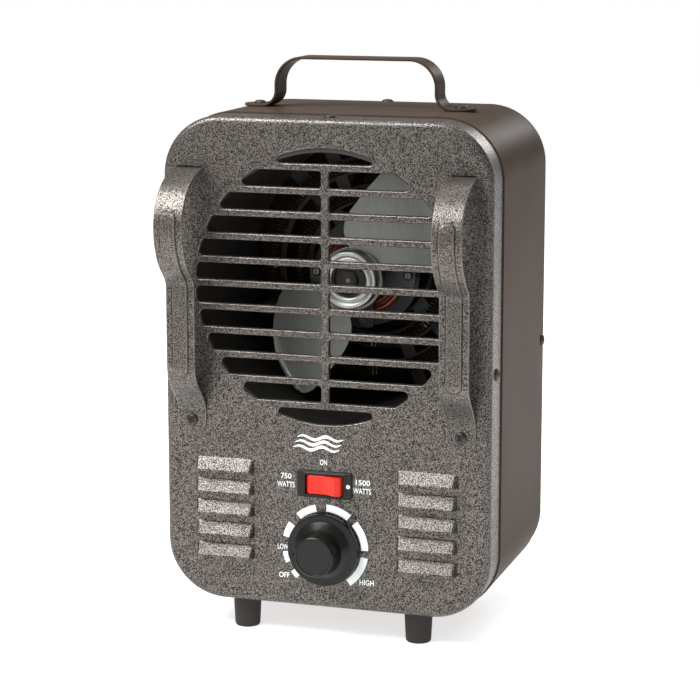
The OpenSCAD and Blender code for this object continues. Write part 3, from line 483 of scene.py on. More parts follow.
def louver(x, z, y, inward, out):
    """Hood pressed out of a sheet: it leans out from its top edge to its lip, with a steep rounded shoulder
    at each end. Its stand-out is ramp(height) times shoulder(distance from the nearer end)."""
    end = 1 - np.cos(np.linspace(0, np.pi / 2, 9))
    across = np.concatenate([end * SHOULDER, LOUVER_W - end[::-1] * SHOULDER])
    heights = np.concatenate([LOUVER_H - np.linspace(0, 1.2, 6) ** 1.2, np.linspace(6, 1.6, 6),
                              [1.1, 0.9, 0.7, 0.3, 0]])
    ramp = np.minimum(1, smooth_step((LOUVER_H - heights) / 0.7) * (LOUVER_H - heights) / (LOUVER_H - 0.9))
    shoulder = 1 - (1 - np.clip(np.minimum(across, LOUVER_W - across) / SHOULDER, 0, 1)) ** 3

    def shell(width, height, depth):
        u, h = np.meshgrid(across * width / LOUVER_W, heights * height / LOUVER_H)
        stand_out = out * ramp[:, None] * shoulder[None, :] - depth
        return np.stack([x - width / 2 + u, y - inward * stand_out, z + h], axis=-1)

    outer = shell(LOUVER_W, LOUVER_H, 0)
    inner = shell(LOUVER_W - 2 * SHEET, LOUVER_H - 0.6, SHEET)
    lip_edge = grid(np.stack([outer[-1], inner[-1]]))
    outer_hole, inner_hole = straight_bottom(outer), straight_bottom(inner)
    sill = grid(np.stack([outer_hole[-1], inner_hole[-1]]))
    return outer_hole, inner_hole, [grid(outer), grid(inner), lip_edge, sill]


def straight_bottom(points):
    """A grid whose lowest row is a sill straight across, for the hole that it stands in."""
    flat = points.copy()
    flat[-1] = np.linspace(points[-1, 0], points[-1, -1], points.shape[1])
    flat[-1, 1:-1, 2] += SILL
    return flat


GUARD_X = sum(corners("right_guard_bar"))[0] / 2
GUARD_W = np.diff(np.array(corners("right_guard_bar")), axis=0)[0, 0]
GUARD_T = 1.2
SLIT_Z = top - 30            # where the guard bars leave the panel
TAB_SCREW_Z = top - 178.4    # and where they are screwed to it
SLIT = (0.5, SHEET, 0)       # roll, depth and wall of a slit's edge
HOUSING_W, HOUSING_H, HOUSING_CORNER = 29.5, 13.7, 0.8
HOUSING_GAP = 0.2            # the panel's hole is this much larger than the switch's housing
slots = [half_slot(row * BAR_PITCH + BAR_H / 2, (row + 1) * BAR_PITCH - BAR_H / 2, side)
         for row in range(-BAR_ROWS, BAR_ROWS) for side in (-1, 1)] + [end_slot(1), end_slot(-1)]
front_holes = [(outline, *SLOT_EDGE) for outline in slots]
for side in (-1, 1):
    slit = rounded_box(side * GUARD_X, SLIT_Z - GUARD_T / 2, GUARD_W - 3.5, GUARD_T + 0.7, 0.8)
    front_holes += [(slit, *SLIT), (disc(side * GUARD_X, TAB_SCREW_Z, SCREW_HOLE_R), *PUNCHED)]
switch_hole = rounded_box(0, switch_z, HOUSING_W + HOUSING_GAP, HOUSING_H + HOUSING_GAP, HOUSING_CORNER)
front_holes += [(switch_hole, *PUNCHED), (disc(0, dial_z, BUSHING_HOLE_R), *PUNCHED)]
louvers = [louver(side * LOUVER_X, bottom + LOUVER_RISE + row * LOUVER_PITCH, face, 1, LOUVER_OUT)
           for side in (-1, 1) for row in range(LOUVER_COUNT)]
piece("front_panel_shell", pan(face, 1, FRONT_FLANGE, front_holes, louvers), "heater", "hammered_paint",
      ["front_panel"])

# ---------------------------------------------------------------- sleeve and rear cover
SLEEVE_T = 0.8
FRONT_LIP, REAR_LIP = 16, 12     # how far the sleeve's stepped ends reach into the pans
LIP_OUT, LIP_IN = -1.1, -1.9
proud = sleeve_high[0] - panel_high[0]
inside = proud - SLEEVE_T
front_edge, rear_edge = face + FRONT_FLANGE, rear - REAR_FLANGE
sleeve_profile = [(LIP_OUT, front_edge), (proud - 0.5, front_edge), (proud - 0.15, front_edge + 0.15),
                  (proud, front_edge + 0.5), (proud, rear_edge - 0.5), (proud - 0.15, rear_edge - 0.15),
                  (proud - 0.5, rear_edge), (LIP_OUT, rear_edge), (LIP_OUT, rear_edge + REAR_LIP),
                  (LIP_IN, rear_edge + REAR_LIP), (LIP_IN, rear_edge - SLEEVE_T),
                  (inside, rear_edge - SLEEVE_T), (inside, front_edge + SLEEVE_T),
                  (LIP_IN, front_edge + SLEEVE_T), (LIP_IN, front_edge - FRONT_LIP),
                  (LIP_OUT, front_edge - FRONT_LIP), (LIP_OUT, front_edge)]
piece("case_sleeve_shell", [loft(case_outline, sleeve_profile)], "heater", "case_paint", ["case_sleeve"])


def vent(x, z, length, height=3.4):
    """Slot with half-round ends."""
    return [(x + length / 2, z, height / 2, -90, 90), (x - length / 2, z, height / 2, 90, 270)]


INTAKE_ROWS = 9
INTAKE_OUT = 2.8
INTAKE_GAP = 6               # between two columns of louvers
VENT_EDGE = (0.6, 1.6, 0.5)  # roll, depth and wall of a vent's edge
GLAND_HOLE_R = 7.15
intake_z = fan_z - (INTAKE_ROWS - 1) / 2 * LOUVER_PITCH - LOUVER_H / 2
intakes = [louver(column * (LOUVER_W + INTAKE_GAP), intake_z + row * LOUVER_PITCH, rear, -1, INTAKE_OUT)
           for column in (-1, 0, 1) for row in range(INTAKE_ROWS)]
rear_vents = [vent(side * 40, bottom + 60 + row * 7, 30) for side in (-1, 1) for row in range(4)]
gland = sum(corners("cord_gland")) / 2
rear_holes = [(outline, *VENT_EDGE) for outline in rear_vents]
rear_holes += [(disc(gland[0], gland[2], GLAND_HOLE_R), *PUNCHED)]
piece("rear_cover_shell", pan(rear, -1, REAR_FLANGE, rear_holes, intakes), "heater", "case_paint",
      ["rear_cover"])


# ---------------------------------------------------------------- straps
def strap(line, side, half_width, thickness, lift=None, edge_r=0.5, columns=37):
    """Closed band of sheet metal. The line holds the points of its outer face, side is the unit vector across
    it, and half_width is its half width at each point. lift(s, u) is how far the face is pressed out at
    distance s along and u across. Its long edges are half ellipses."""
    line, side = np.asarray(line, float), np.asarray(side, float)
    along = np.gradient(line, axis=0)
    normal = np.cross(side, along)
    normal /= np.linalg.norm(normal, axis=1)[:, None]
    s = np.concatenate([[0], np.cumsum(np.linalg.norm(np.diff(line, axis=0), axis=1))])
    turn = np.linspace(0, np.pi, 7)[1:-1]
    flat = np.linspace(-1, 1, columns)
    share = np.concatenate([flat, np.ones(5), -flat, -np.ones(5)])
    edge = np.concatenate([np.zeros(columns), np.sin(turn), np.zeros(columns), -np.sin(turn)])
    depth = np.concatenate([np.zeros(columns), 1 - np.cos(turn), np.full(columns, 2.0), 1 + np.cos(turn)])
    rounding = np.minimum(edge_r, half_width)[:, None]
    u = share * (half_width[:, None] - rounding) + edge * rounding
    out = -depth * thickness / 2 + (lift(s[:, None], u) if lift else 0)
    points = line[:, None] + u[..., None] * side + out[..., None] * normal[:, None]
    return [grid(points, close_columns=True), cap(points[0]), cap(points[-1])]


def every(points, spacing):
    """A line's points again, at an even spacing."""
    points = np.asarray(points, float)
    s = np.concatenate([[0], np.cumsum(np.linalg.norm(np.diff(points, axis=0), axis=1))])
    even = np.linspace(0, s[-1], int(s[-1] / spacing) + 1)
    return np.stack([np.interp(even, s, column) for column in points.T], axis=1)


# the same enamel as the panel's, with a painted highlight on convex edges and painted shade in creases, which
# shows up the pressed beads
edge_shaded_enamel = hammertone_enamel("hammertone_enamel_painted_edge_shading", 0.6)
GUARD_BEAD = 1.0             # how far the bead stands out of the bar
BEAD_W = GUARD_W * 0.56
GUARD_BULGE = face - corners("right_guard_bar")[0][1] - GUARD_BEAD
GUARD_FLAT = 18              # how far the bar's straight part stands out of the panel
BULGE_RISE, BULGE_FALL = 32, 35  # from the bulge's crest up to the slit, and down to the straight part
bulge_z = SLIT_Z - BULGE_RISE
flat_end_z = TAB_SCREW_Z + 32
tab_z = TAB_SCREW_Z + 4.6


def guard_reach(z):
    """How far the outer face stands out below the crest: a quarter ellipse that runs smoothly into the
    straight part, and that eases back to the panel above the tab."""
    fall = GUARD_BULGE * np.sqrt(np.clip(1 - ((bulge_z - z) / BULGE_FALL) ** 2, 0, 1))
    soft = 5 * np.clip((bulge_z - z) / 20, 0, 1)
    body = np.minimum(GUARD_BULGE, (fall + GUARD_FLAT + np.sqrt((fall - GUARD_FLAT) ** 2 + soft ** 2)) / 2)
    foot = GUARD_T + (GUARD_FLAT - GUARD_T) * smooth_step((z - tab_z) / (flat_end_z - tab_z))
    return np.where(z > flat_end_z, body, foot)


def guard_bar(name, x, node):
    """Guard bar: a strap that leaves the panel at the slit, bulges, runs down and lies on the panel at its
    screw, with a round-ended bead pressed along its middle."""
    turn = np.linspace(0, np.pi / 2, 40)
    z_down = np.linspace(bulge_z, TAB_SCREW_Z - GUARD_W / 2, 240)[1:]
    yz = np.concatenate([
        [[face + 4, SLIT_Z], [face + 1.4, SLIT_Z], [face + 0.3, SLIT_Z]],
        np.stack([face - GUARD_BULGE * np.sin(turn), bulge_z + BULGE_RISE * np.cos(turn)], axis=1),
        np.stack([face - guard_reach(z_down), z_down], axis=1)])
    line = every(np.insert(yz, 0, x, axis=1), 0.9)
    z, y = line[:, 2], line[:, 1]
    s = np.concatenate([[0], np.cumsum(np.linalg.norm(np.diff(line, axis=0), axis=1))])
    half_width = np.where(y > face - 1, GUARD_W / 2 - 2, GUARD_W / 2)
    below = np.clip((TAB_SCREW_Z - z) / (GUARD_W / 2), 0, 1)
    half_width = half_width * np.sqrt(1 - below ** 2)
    crest = s[np.argmin(y)]
    end = s[np.argmin(np.abs(z - (flat_end_z - 3)))]

    def bead(along, across):
        over = np.maximum(np.maximum(crest - 11 + BEAD_W / 2 - along, along - end + BEAD_W / 2), 0)
        inset = BEAD_W / 2 - np.hypot(across, over)
        return GUARD_BEAD * smooth_step(inset / 0.7)

    surfaces = strap(line, (-1, 0, 0), half_width, GUARD_T, bead, columns=61)
    bar = piece(name, surfaces, "heater", "hammered_paint", [node])
    # the bar takes the enamel with painted highlights on the bead's edges and painted shade in its creases
    bar.data.materials[0] = edge_shaded_enamel


guard_bar("left_guard_strap", -GUARD_X, "left_guard_bar")
guard_bar("right_guard_strap", GUARD_X, "right_guard_bar")

handle_low, handle_high = corners("carry_handle")
STRAP_T = 1.6
UPPER_BEND, LOWER_BEND = 17, 8
HANDLE_SPAN = 100            # between the handle's legs, outside
handle_y = (handle_low[1] + handle_high[1]) / 2
strap_half = (handle_high[1] - handle_low[1]) / 2
pad_x = handle_high[0] - strap_half


def quarter(x, z, radius, start, end):
    """Points (x, z) of a quarter circle."""
    angle = np.radians(np.linspace(start, end, 19))
    return np.stack([x + radius * np.cos(angle), z + radius * np.sin(angle)], axis=1)


low_z, high_z = handle_low[2] + STRAP_T, handle_high[2]
half_line = np.concatenate([
    [[handle_high[0], low_z]],
    quarter(HANDLE_SPAN / 2 + LOWER_BEND, low_z + LOWER_BEND, LOWER_BEND, 270, 180),
    quarter(HANDLE_SPAN / 2 - UPPER_BEND, high_z - UPPER_BEND, UPPER_BEND, 0, 90)])
xz = np.concatenate([half_line, half_line[::-1] * (-1, 1)])
handle_line = every(np.insert(xz, 1, handle_y, axis=1), 0.7)
over_end = np.clip((np.abs(handle_line[:, 0]) - pad_x) / strap_half, 0, 1)
over_end = np.where(handle_line[:, 2] < low_z + 0.5, over_end, 0)
handle_parts = strap(handle_line, (0, 1, 0), strap_half * np.sqrt(1 - over_end ** 2), STRAP_T, columns=13)
piece("carry_handle_strap", handle_parts, "heater", "case_paint", ["carry_handle"])


# ---------------------------------------------------------------- screws
HEAD_R, HEAD_H, SHANK_R = 3.6, 1.7, 1.9
SHORT_SCREW, LONG_SCREW = 6, 8
CROSS_HALF, CROSS_REACH, CROSS_DEPTH = 0.1428 * HEAD_R, 0.58 * HEAD_R, 0.9
HEAD_SIDES = 56


def cross_arm(across, along):
    """Share of its full depth that one arm of a cross recess has at distances across and along it."""
    half, reach = CROSS_HALF - np.abs(across), CROSS_REACH - np.abs(along)
    return smooth_step(half / 0.25) * smooth_step(reach / 0.5)


def pan_head(centre, axis, turn, length):
    """Pan-head screw with a cross recess. Its head is a superellipse in section, less a cross that is pressed
    in where either arm is near, and its shank is turned below the head."""
    axis, side, other = square_to(axis)
    share = np.concatenate([np.linspace(0, 0.72, 17),
                            1 - 0.28 * np.cos(np.linspace(0, np.pi / 2, 8)[1:]) ** 1.4])
    angle = np.linspace(0, 2 * np.pi, HEAD_SIDES, endpoint=False)
    head_r, head_angle = np.meshgrid(share * HEAD_R, angle, indexing="ij")
    x, y = head_r * np.cos(head_angle + turn), head_r * np.sin(head_angle + turn)
    head_rise = HEAD_H * (0.25 + 0.75 * (1 - (head_r / HEAD_R) ** 2.6) ** 0.6)
    head_rise -= CROSS_DEPTH * np.maximum(cross_arm(x, y), cross_arm(y, x))
    shank = np.array([(HEAD_R, 0), (SHANK_R, 0), (SHANK_R, -length), (0, -length)])
    r = np.concatenate([head_r, np.repeat(shank[:, :1], HEAD_SIDES, axis=1)])[..., None]
    rise = np.concatenate([head_rise, np.repeat(shank[:, 1:], HEAD_SIDES, axis=1)])[..., None]
    points = r * (np.cos(angle)[:, None] * side + np.sin(angle)[:, None] * other) + rise * axis
    return grid(points + np.array(centre, float), close_columns=True)


def flange_screws(y):
    """Screws in the middle of a flange's four sides."""
    sides = (((panel_high[0], y, middle_z), (1, 0, 0), 0.5), ((-panel_high[0], y, middle_z), (-1, 0, 0), 1.1),
             ((0, y, top), (0, 0, 1), 0.3), ((0, y, bottom), (0, 0, -1), 0.8))
    return [pan_head(centre, axis, turn, SHORT_SCREW) for centre, axis, turn in sides]


front_screws = flange_screws(face + FRONT_FLANGE / 2)
rear_screws = flange_screws(rear - REAR_FLANGE / 2)
handle_screws, guard_screws = [], []
for side in (-1, 1):
    handle_screws.append(pan_head((side * pad_x, handle_y, low_z), (0, 0, 1), side * 0.4, LONG_SCREW))
    tab_place = (side * GUARD_X, face - GUARD_T, TAB_SCREW_Z)
    guard_screws.append(pan_head(tab_place, (0, -1, 0), 0.7 + side * 0.3, LONG_SCREW))
piece("front_panel_screw_set", front_screws, "heater", "dark_screw", ["front_panel_screws"])
piece("rear_cover_screw_set", rear_screws, "heater", "dark_screw", ["rear_cover_screws"])
piece("handle_screw_set", handle_screws, "heater", "dark_screw", ["handle_screws"])
piece("guard_screw_set", guard_screws, "heater", "dark_screw", ["guard_bar_screws"])

# ---------------------------------------------------------------- feet
for corner in ("front_left", "front_right", "rear_left", "rear_right"):
    low, high = corners(corner + "_foot")
    x, y = ((low + high) / 2)[:2]
    # from the screw's recess over the rounded tread and up the tapered side, as (radius, height)
    profile = [(0, 5), (3.9, 5), (4.0, 0.4), (4.4, 0.0), (6.2, 0.0), (6.9, 0.25), (7.35, 0.8), (7.5, 1.6),
               (8.3, high[2] - 1.0), (8.35, high[2] - 0.3), (8.2, high[2]), (0, high[2])]
    piece(corner + "_foot_pad", [revolve(profile, (x, y, 0), (0, 0, 1), 48)], "heater", "foot_rubber",
          [corner + "_foot"])

# ---------------------------------------------------------------- knob
KNOB_R = 21.4
GRIP_R = 12.8
knob_out = face - corners("control_knob")[0][1]
# skirt, cone and grip, as (radius, distance out of the panel)
knob_profile = [
    (0, 2.4), (KNOB_R - 1.0, 2.4), (KNOB_R - 0.4, 2.6), (KNOB_R, 3.2), (KNOB_R, 4.8), (KNOB_R - 0.25, 5.35),
    (KNOB_R - 0.9, 5.6), (18.0, 5.6), (17.3, 5.7), (16.8, 6.0), (13.8, 9.4), (13.3, 10.2),
    (GRIP_R - 0.1, 11.2), (GRIP_R - 0.9, knob_out - 1.2), (GRIP_R - 1.1, knob_out - 0.5),
    (GRIP_R - 1.6, knob_out), (GRIP_R - 2.3, knob_out), (GRIP_R - 2.6, knob_out - 0.4), (0, knob_out - 0.4)]
REST_ANGLE = 12              # degrees below straight left, where the pointer rests
pointer_dir = np.array([-math.cos(math.radians(REST_ANGLE)), 0, -math.sin(math.radians(REST_ANGLE))])
pointer_side = np.array([-pointer_dir[2], 0, pointer_dir[0]])
PIP_IN, PIP_LENGTH, PIP_HALF, PIP_RISE = KNOB_R - 4.4, 4.2, 1.1, 1.1
u, v = np.meshgrid(np.linspace(-1, 1, 9), np.linspace(0, 1, 13))
pip_rise = PIP_RISE * (1 - u ** 4) * smooth_step(v / 0.15) * smooth_step((1 - v) / 0.3)
pip_out, pip_across = (PIP_IN + v * PIP_LENGTH)[..., None], (u * PIP_HALF)[..., None]
pip_place = np.array([0, face - 5.4, dial_z]) + pip_out * pointer_dir + pip_across * pointer_side
pip_front = pip_place - pip_rise[..., None] * np.array([0, 1, 0])
pip_back = pip_place + np.array([0, 0.8, 0])
knob_parts = [revolve(knob_profile, (0, face, dial_z), (0, -1, 0), 96), *slab(pip_front, pip_back)]
piece("control_knob_moulding", knob_parts, "knob", "black_plastic", ["control_knob"], sharp=28)

# ---------------------------------------------------------------- switch
bezel_low, bezel_high = corners("switch_housing")
BEZEL_H = 15.7
ROCKER_W, ROCKER_H = 23, 11.5
bezel = rounded_box(0, switch_z, bezel_high[0] - bezel_low[0], BEZEL_H, 1.3)
frame_line = rounded_box(0, switch_z, ROCKER_W + 3.4, ROCKER_H + 2.8, 0.9)
pocket = rounded_box(0, switch_z, ROCKER_W, ROCKER_H, 0.5)
housing = rounded_box(0, switch_z, HOUSING_W, HOUSING_H, HOUSING_CORNER)
POCKET_DEPTH = 11
bezel_y = bezel_low[1]
step_y = bezel_y + 0.5
pocket_y = face + POCKET_DEPTH
bezel_parts = [
    loft(bezel, [(0, face), *bend(-0.7, step_y + 0.7, 0.7, 0, -90)]),
    fill(step_y, trace(bezel, -0.7), [trace(frame_line, 0.3)]),
    loft(frame_line, [(0.3, step_y), (0, step_y - 0.1), (0, bezel_y + 0.15), (-0.2, bezel_y)]),
    fill(bezel_y, trace(frame_line, -0.2), [trace(pocket, 0.4)]),
    loft(pocket, [(0.4, bezel_y), (0.1, bezel_y + 0.15), (0, bezel_y + 0.5), (0, pocket_y)]),
    fill(pocket_y, trace(pocket)),
    fill(face, trace(bezel), [trace(housing)]),
    loft(housing, [(0, face), (0, bezel_high[1])]),
    fill(bezel_high[1], trace(housing))]
piece("switch_bezel", bezel_parts, "heater", "black_plastic", ["switch_housing"])

PIVOT_DEPTH = -0.17          # the rocker's pivot, behind the front face
ROCKER_GAP = 0.25            # above and below the rocker
ROCKER_REACH = ROCKER_W / 2 - 0.3
ROCKER_END = math.radians(10)    # the end face's arc round the pivot, above and below the pivot's level
ROCKER_TAIL = -math.radians(12)
HALF_TRAVEL = math.radians(10)
end_arc = np.linspace(ROCKER_END, ROCKER_TAIL, 7)
# the pressed face, from its end to its middle: a flat for the finger, then a hollow
half_face = np.array([0.94, 0.86, 0.73, 0.6, 0.45, 0.3, 0.15, 0])
hollow = np.where(half_face > 0.73, 3.75 - 1.6 * (half_face - 0.73) / 0.27,
                  2.1 + 1.65 * (half_face / 0.73) ** 1.3)
right = np.stack([ROCKER_REACH * np.cos(end_arc), ROCKER_REACH * np.sin(end_arc)], axis=1)[::-1]
inner_face = np.stack([ROCKER_REACH * math.cos(ROCKER_END) * half_face, hollow], axis=1)
half_loop = np.concatenate([[[4, -6]], right, inner_face])
loop = np.concatenate([half_loop, half_loop[-2::-1] * (-1, 1)])
cos_t, sin_t = math.cos(HALF_TRAVEL), math.sin(HALF_TRAVEL)
rocker_x = loop[:, 0] * cos_t - loop[:, 1] * sin_t
rocker_y = face + PIVOT_DEPTH - loop[:, 0] * sin_t - loop[:, 1] * cos_t
rocker_half = ROCKER_H / 2 - ROCKER_GAP
prism = np.stack([np.stack([rocker_x, rocker_y, np.full(len(loop), z)], axis=1)
                  for z in (switch_z - rocker_half, switch_z + rocker_half)])
rocker_parts = [grid(prism, close_columns=True), cap(prism[0]), cap(prism[1])]
rocker = piece("rocker_cap", rocker_parts, "rocker", "red_plastic", ["rocker_button"])
soft_edge = rocker.modifiers.new("soft_edge", "BEVEL")
soft_edge.width = 0.45 * MM
soft_edge.segments = 3
soft_edge.limit_method = "ANGLE"
soft_edge.angle_limit = math.radians(40)

# ---------------------------------------------------------------- printed marks
INK = 0.05                   # thickness of the print


def on_panel(x, z, out):
    """Point of the print, with its distance out of the panel's face."""
    return np.stack([x, face - out, z], axis=-1)


def ink(x, z, y_front=INK):
    """Thin plate of ink over a grid of points (x, z)."""
    return slab(on_panel(x, z, np.full(x.shape, y_front)), on_panel(x, z, np.full(x.shape, -0.02)))


def ring_mark(start, end, inner=22.0, outer=26.3):
    """Piece of a ring round the dial."""
    degrees = np.linspace(start, end, max(4, int(end - start) // 2))
    angle, radius = np.meshgrid(np.radians(degrees), [inner, outer])
    return ink(radius * np.cos(angle), dial_z + radius * np.sin(angle))


def heat_wave(x, z, length=28.0, swing=1.1, weight=1.9):
    """Wavy line with tapered ends: two turns of a sine, whose weight swells in its middle as half a turn."""
    t, side = np.meshgrid(np.linspace(0, 1, 49), [-0.5, 0.5])
    swell = np.sqrt(np.sin(np.pi * np.clip(t, 0.02, 0.98)))
    return ink(x + length * (t - 0.5), z + swing * np.sin(t * 4 * np.pi) + side * weight * swell)


def lettering(words, x, z, height, width):
    """Words as thin plates of ink, centred at (x, z) and condensed to a width."""
    curve = bpy.data.curves.new("lettering", "FONT")
    curve.body = words
    curve.size = height / 0.7
    curve.align_x = "CENTER"
    curve.align_y = "CENTER"
    curve.extrude = INK / 2
    curve.offset = 0.03
    curve.resolution_u = 3
    text = bpy.data.objects.new("lettering", curve)
    bpy.context.scene.collection.objects.link(text)
    mesh = bpy.data.meshes.new_from_object(text)
    bpy.data.objects.remove(text)
    mesh.calc_loop_triangles()
    points = np.array([vertex.co for vertex in mesh.vertices]).reshape(-1, 3)
    triangles = np.array([triangle.vertices for triangle in mesh.loop_triangles])
    condensed = points[:, 0] * width / np.ptp(points[:, 0])
    return on_panel(x + condensed, z + points[:, 1], points[:, 2] + INK / 2), triangles


# the scale's marks, which grow longer from off round to high, in degrees anticlockwise from straight right
RING_MARKS = ((1, 42), (53, 88), (103, 132), (147, 168), (189, 204), (217, 228), (306, 351))
LETTER_H = 3.2
LETTER_PITCH = 2.15
WAVE_X, WAVE_Z = -4, switch_z + 24.2
WAVE_PITCH, WAVE_SHIFT = 3.1, 1.2
WORDS = (
    # words, x, z
    ("ON", -0.8, switch_z + 13.0), ("750", -23.8, switch_z + 3.4), ("WATTS", -23.8, switch_z - 1.6),
    ("1500", 22.6, switch_z + 2.6), ("WATTS", 22.6, switch_z - 2.4),
    ("LOW", -26.0, dial_z - 1.3), ("OFF", -25.2, dial_z - 18.3), ("HIGH", 25.4, dial_z - 18.8))
print_parts = [surface for start, end in RING_MARKS for surface in ring_mark(start, end)]
print_parts += [lettering(words, x, z, LETTER_H, LETTER_PITCH * len(words)) for words, x, z in WORDS]
for wave in (-1, 0, 1):
    print_parts += heat_wave(WAVE_X + wave * WAVE_SHIFT, WAVE_Z + wave * WAVE_PITCH)
piece("printed_marks", print_parts, "heater", "white_print", sharp=30)

DOT_X = 14.5
dot = [(0, 0.12), (1.0, 0.12), (1.25, 0), (0, 0)]
piece("position_dot", [revolve(dot, (DOT_X, step_y, switch_z), (0, -1, 0), 24)], "heater", "white_print")

# ---------------------------------------------------------------- fan and motor
hub_low, hub_high = corners("fan_hub")
hub_y = hub_low[1]
hub_r = (hub_high[0] - hub_low[0]) / 2
BLADE_DEPTH = 9              # of the blades' plane, behind the hub's rim
blade_y = hub_y + BLADE_DEPTH
FAN_R = 74.2
BLADE_T = 1.0
BLADE_TURNS = (50, 232)      # degrees from straight right to the middle of each blade
BLADE_PITCH = math.radians(24)
CAMBER = 2.5
# a blade seen from the front: share of the fan's radius, and degrees from its middle to its two edges
BLADE_EDGES = np.array([(0.25, 38, -26), (0.33, 43, -29), (0.4, 44, -33), (0.5, 40, -40), (0.57, 36, -43),
                        (0.65, 31, -40), (0.73, 28, -32), (0.83, 24, -20), (0.93, 21, -6), (0.985, 17.5, 9),
                        (1, 14.5, 13.5)])


def fan_blade(centre_turn):
    """Sheet-metal blade in polar coordinates: its edges lean forwards towards the tip, its face is a plane
    pitched round its radius, and a camber bows it across the chord."""
    share = np.concatenate([np.linspace((hub_r + 1) / FAN_R, 0.93, 44),
                            1 - 0.07 * np.linspace(1, 0, 14)[1:] ** 1.6])
    edges = [np.interp(share, BLADE_EDGES[:, 0], edge) for edge in BLADE_EDGES.T[1:]]
    smooth = [np.convolve(np.pad(edge, 2, "edge"), np.ones(5) / 5, "valid") for edge in edges]
    lead, trail = np.radians(smooth)
    across = np.linspace(-1, 1, 33)
    from_middle = ((lead + trail) / 2)[:, None] + ((lead - trail) / 2)[:, None] * across
    r = FAN_R * share[:, None]
    out = np.sin(from_middle) * r * math.tan(BLADE_PITCH) + CAMBER * across ** 2 * share[:, None]
    turn = math.radians(centre_turn) + from_middle
    front = np.stack([r * np.cos(turn), blade_y - out - BLADE_T / 2, fan_z + r * np.sin(turn)], axis=-1)
    return slab(front, front + np.array([0, BLADE_T, 0]))


blade_parts = [surface for turn in BLADE_TURNS for surface in fan_blade(turn)]
collar = [(hub_r + 0.05, -1.4), (hub_r + 1.2, -1.4), (hub_r + 1.6, -1.0), (hub_r + 1.6, 1.0),
          (hub_r + 1.2, 1.4), (hub_r + 0.05, 1.4), (hub_r + 0.05, -1.4)]
blade_parts.append(revolve(collar, (0, blade_y, fan_z), (0, -1, 0), 64))
piece("fan_blade_sheet", blade_parts, "rotor", "fan_aluminium", ["fan_blades"], sharp=50)

# the cup's profile: shaft tube, back, wall, rolled rim, dished face, step and recess, as (radius, depth)
cup = [(2.52, 15), (5.5, 15), (5.5, 7.4), (hub_r - 2.4, 7.0), (hub_r - 1.2, 8.2), (hub_r - 1.2, 15),
       (hub_r, 15), (hub_r, 2.6), (hub_r - 0.15, 1.2), (hub_r - 0.6, 0.4), (hub_r - 1.4, 0.0),
       (hub_r - 2.4, 0.15), (hub_r - 3.4, 0.8), (hub_r - 4.0, 1.5), (hub_r - 4.5, 1.1), (hub_r - 5.2, 0.8),
       (hub_r - 6.2, 1.0), (hub_r - 7.0, 1.8), (hub_r - 7.3, 2.8), (hub_r - 7.3, 4.8), (2.52, 4.8),
       (2.52, 15)]
cup_surface = revolve([(r, -d) for r, d in cup], (0, hub_y, fan_z), (0, -1, 0), 96)
piece("fan_hub_cup", [cup_surface], "rotor", "hub_steel", ["fan_hub"], sharp=40)

# a dark cap over the nut, put in the hub's recess as painted shade: a low dome, its wall and a bead, as
# (radius, distance out of the hub's rim)
recess_shade_profile = [(1.3, -0.45), (1.3, -0.2), (1.6, -0.1), (3.6, -0.35), (5.2, -1.3), (5.6, -3.9), (8.9, -4.2),
          (9.3, -2.2), (9.7, -2.0), (10.0, -2.3), (10.0, -4.6), (5.0, -4.6), (4.9, -1.7), (3.4, -0.8),
          (1.3, -0.45)]
piece("hub_recess_painted_shade", [revolve(recess_shade_profile, (0, hub_y, fan_z), (0, -1, 0), 64)], "rotor", "duct_black")


WINDING_R, WINDING_HALF = 21.0, 4.4
WINDING_END = 7              # how far each end stands out of the stator


def winding(y_front, y_back):
    """Wound end of the stator's coils: a fat rounded ring whose surface is ribbed by its turns of wire."""
    mid_y, half_y = (y_front + y_back) / 2, (y_back - y_front) / 2
    t = np.linspace(0, 2 * np.pi, 96, endpoint=False)[:, None]
    a = np.linspace(0, 2 * np.pi, 240, endpoint=False)[None, :]
    swell = 1 - 0.22 * np.cos(2 * a) ** 8
    rib = 0.22 * np.cos(15 * t) ** 2
    r = WINDING_R + (WINDING_HALF * swell - rib) * np.cos(t)
    y = mid_y + (half_y - 0.1 - rib) * swell * np.sin(t)
    return grid(np.stack([r * np.cos(a), y, fan_z + r * np.sin(a)], axis=-1), True, True)


winding_front, winding_back = (corner[1] for corner in corners("motor_winding"))
winding_parts = [winding(winding_front, winding_front + WINDING_END),
                 winding(winding_back - WINDING_END, winding_back)]
piece("motor_winding_turns", winding_parts, "heater", "enamelled_copper", ["motor_winding"])


WIRE_R, WIRE_PITCH = 0.45, 2.4


def heating_wire(name, node):
    """Wire wound in a helix that is bent into a ring: a circle carried along a helix on a torus."""
    low, high = corners(node)
    coil_r = (high[1] - low[1]) / 2
    ring_r = (high[0] - low[0]) / 2 - coil_r
    mid_y = (low[1] + high[1]) / 2
    turns = int(2 * np.pi * ring_r / WIRE_PITCH)
    t = np.linspace(0, 2 * np.pi, turns * 14, endpoint=False)[:, None]
    w = np.linspace(0, 2 * np.pi, 6, endpoint=False)[None, :]
    helix = turns * t
    small = coil_r - WIRE_R + WIRE_R * np.cos(w)
    r = ring_r + small * np.cos(helix)
    y = mid_y + small * np.sin(helix)
    turn = t + WIRE_R * np.sin(w) / ring_r
    piece(name, [grid(np.stack([r * np.cos(turn), y, fan_z + r * np.sin(turn)], axis=-1), True, True)],
          "heater", "resistance_wire", [node])


heating_wire("inner_heating_wire", "inner_heating_coil")
heating_wire("outer_heating_wire", "outer_heating_coil")

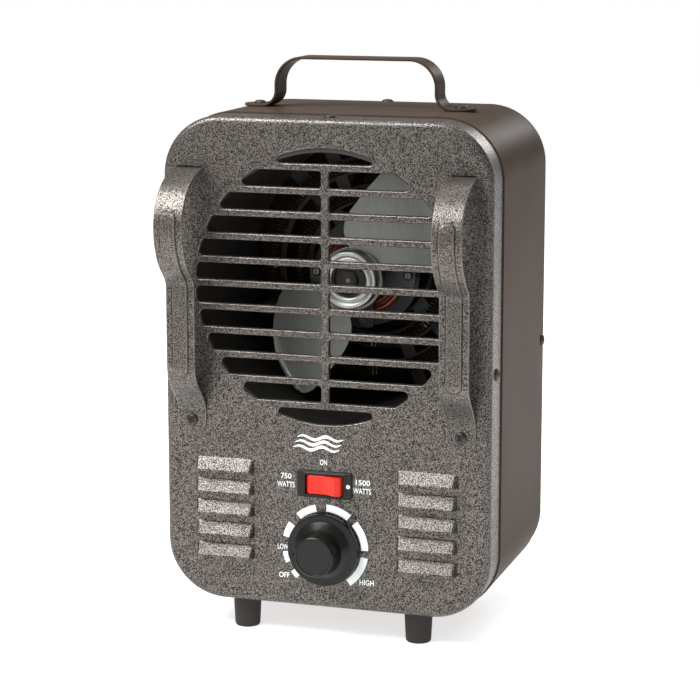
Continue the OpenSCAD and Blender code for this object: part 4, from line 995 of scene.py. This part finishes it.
# ---------------------------------------------------------------- CAD nodes that stay
slots_by_node = {part["node"]: part["material_slot"] for part in frame["record"]["subparts"]}
for name, node in frame["nodes"].items():
    node.data.materials.clear()
    node.data.materials.append(FINISHES[slots_by_node[name]])
    node.data.polygons.foreach_set("use_smooth", [True] * len(node.data.polygons))
    weld = node.modifiers.new("weld", "WELD")
    weld.merge_threshold = 0.01 * MM
    split = node.modifiers.new("split_edges", "EDGE_SPLIT")
    split.split_angle = math.radians(30)

# ---------------------------------------------------------------- floor and light
scene = bpy.context.scene
scene.view_settings.view_transform = "Standard"
FLOOR_HALF = 30.0            # metres
floor_corners = [(x * FLOOR_HALF, y * FLOOR_HALF, 0) for x, y in ((-1, -1), (1, -1), (1, 1), (-1, 1))]
floor_mesh = bpy.data.meshes.new("floor")
floor_mesh.from_pydata(floor_corners, [], [(0, 1, 2, 3)])
floor = bpy.data.objects.new("floor", floor_mesh)
scene.collection.objects.link(floor)
# matt white paper, lit a little from inside so that the heater's shadow stays pale
paper = finish("white_paper", Base_Color=linear("#f4f4f4"), Roughness=0.9, Specular_IOR_Level=0.1,
               Emission_Color=linear("#ffffff"), Emission_Strength=0.68)[0]
floor_mesh.materials.append(paper)

world = bpy.data.worlds.new("studio")
scene.world = world
world.use_nodes = True
sky = world.node_tree.nodes["Background"].inputs
sky["Color"].default_value = linear("#ffffff")
sky["Strength"].default_value = 0.35


LIT_POINT = Vector((0, 0, 0.16))     # the heater's middle, in metres


def softbox(name, direction, distance, width, height, power):
    """Rectangular area light that faces the heater from a direction. Sizes are in metres and the power in
    watts."""
    light = bpy.data.lights.new(name, "AREA")
    light.shape = "RECTANGLE"
    light.size, light.size_y, light.energy = width, height, power
    lamp = bpy.data.objects.new(name, light)
    scene.collection.objects.link(lamp)
    direction = Vector(direction).normalized()
    lamp.location = LIT_POINT + direction * distance
    lamp.rotation_euler = (-direction).to_track_quat("-Z", "Y").to_euler()
    return lamp


softbox("key", (-0.50, -0.60, 0.95), 1.0, 0.7, 0.5, 19)
softbox("top", (0.1, 0.25, 1.0), 1.6, 1.2, 0.8, 8)
softbox("rim", (0.3, 0.85, 0.42), 1.5, 0.4, 0.4, 6)
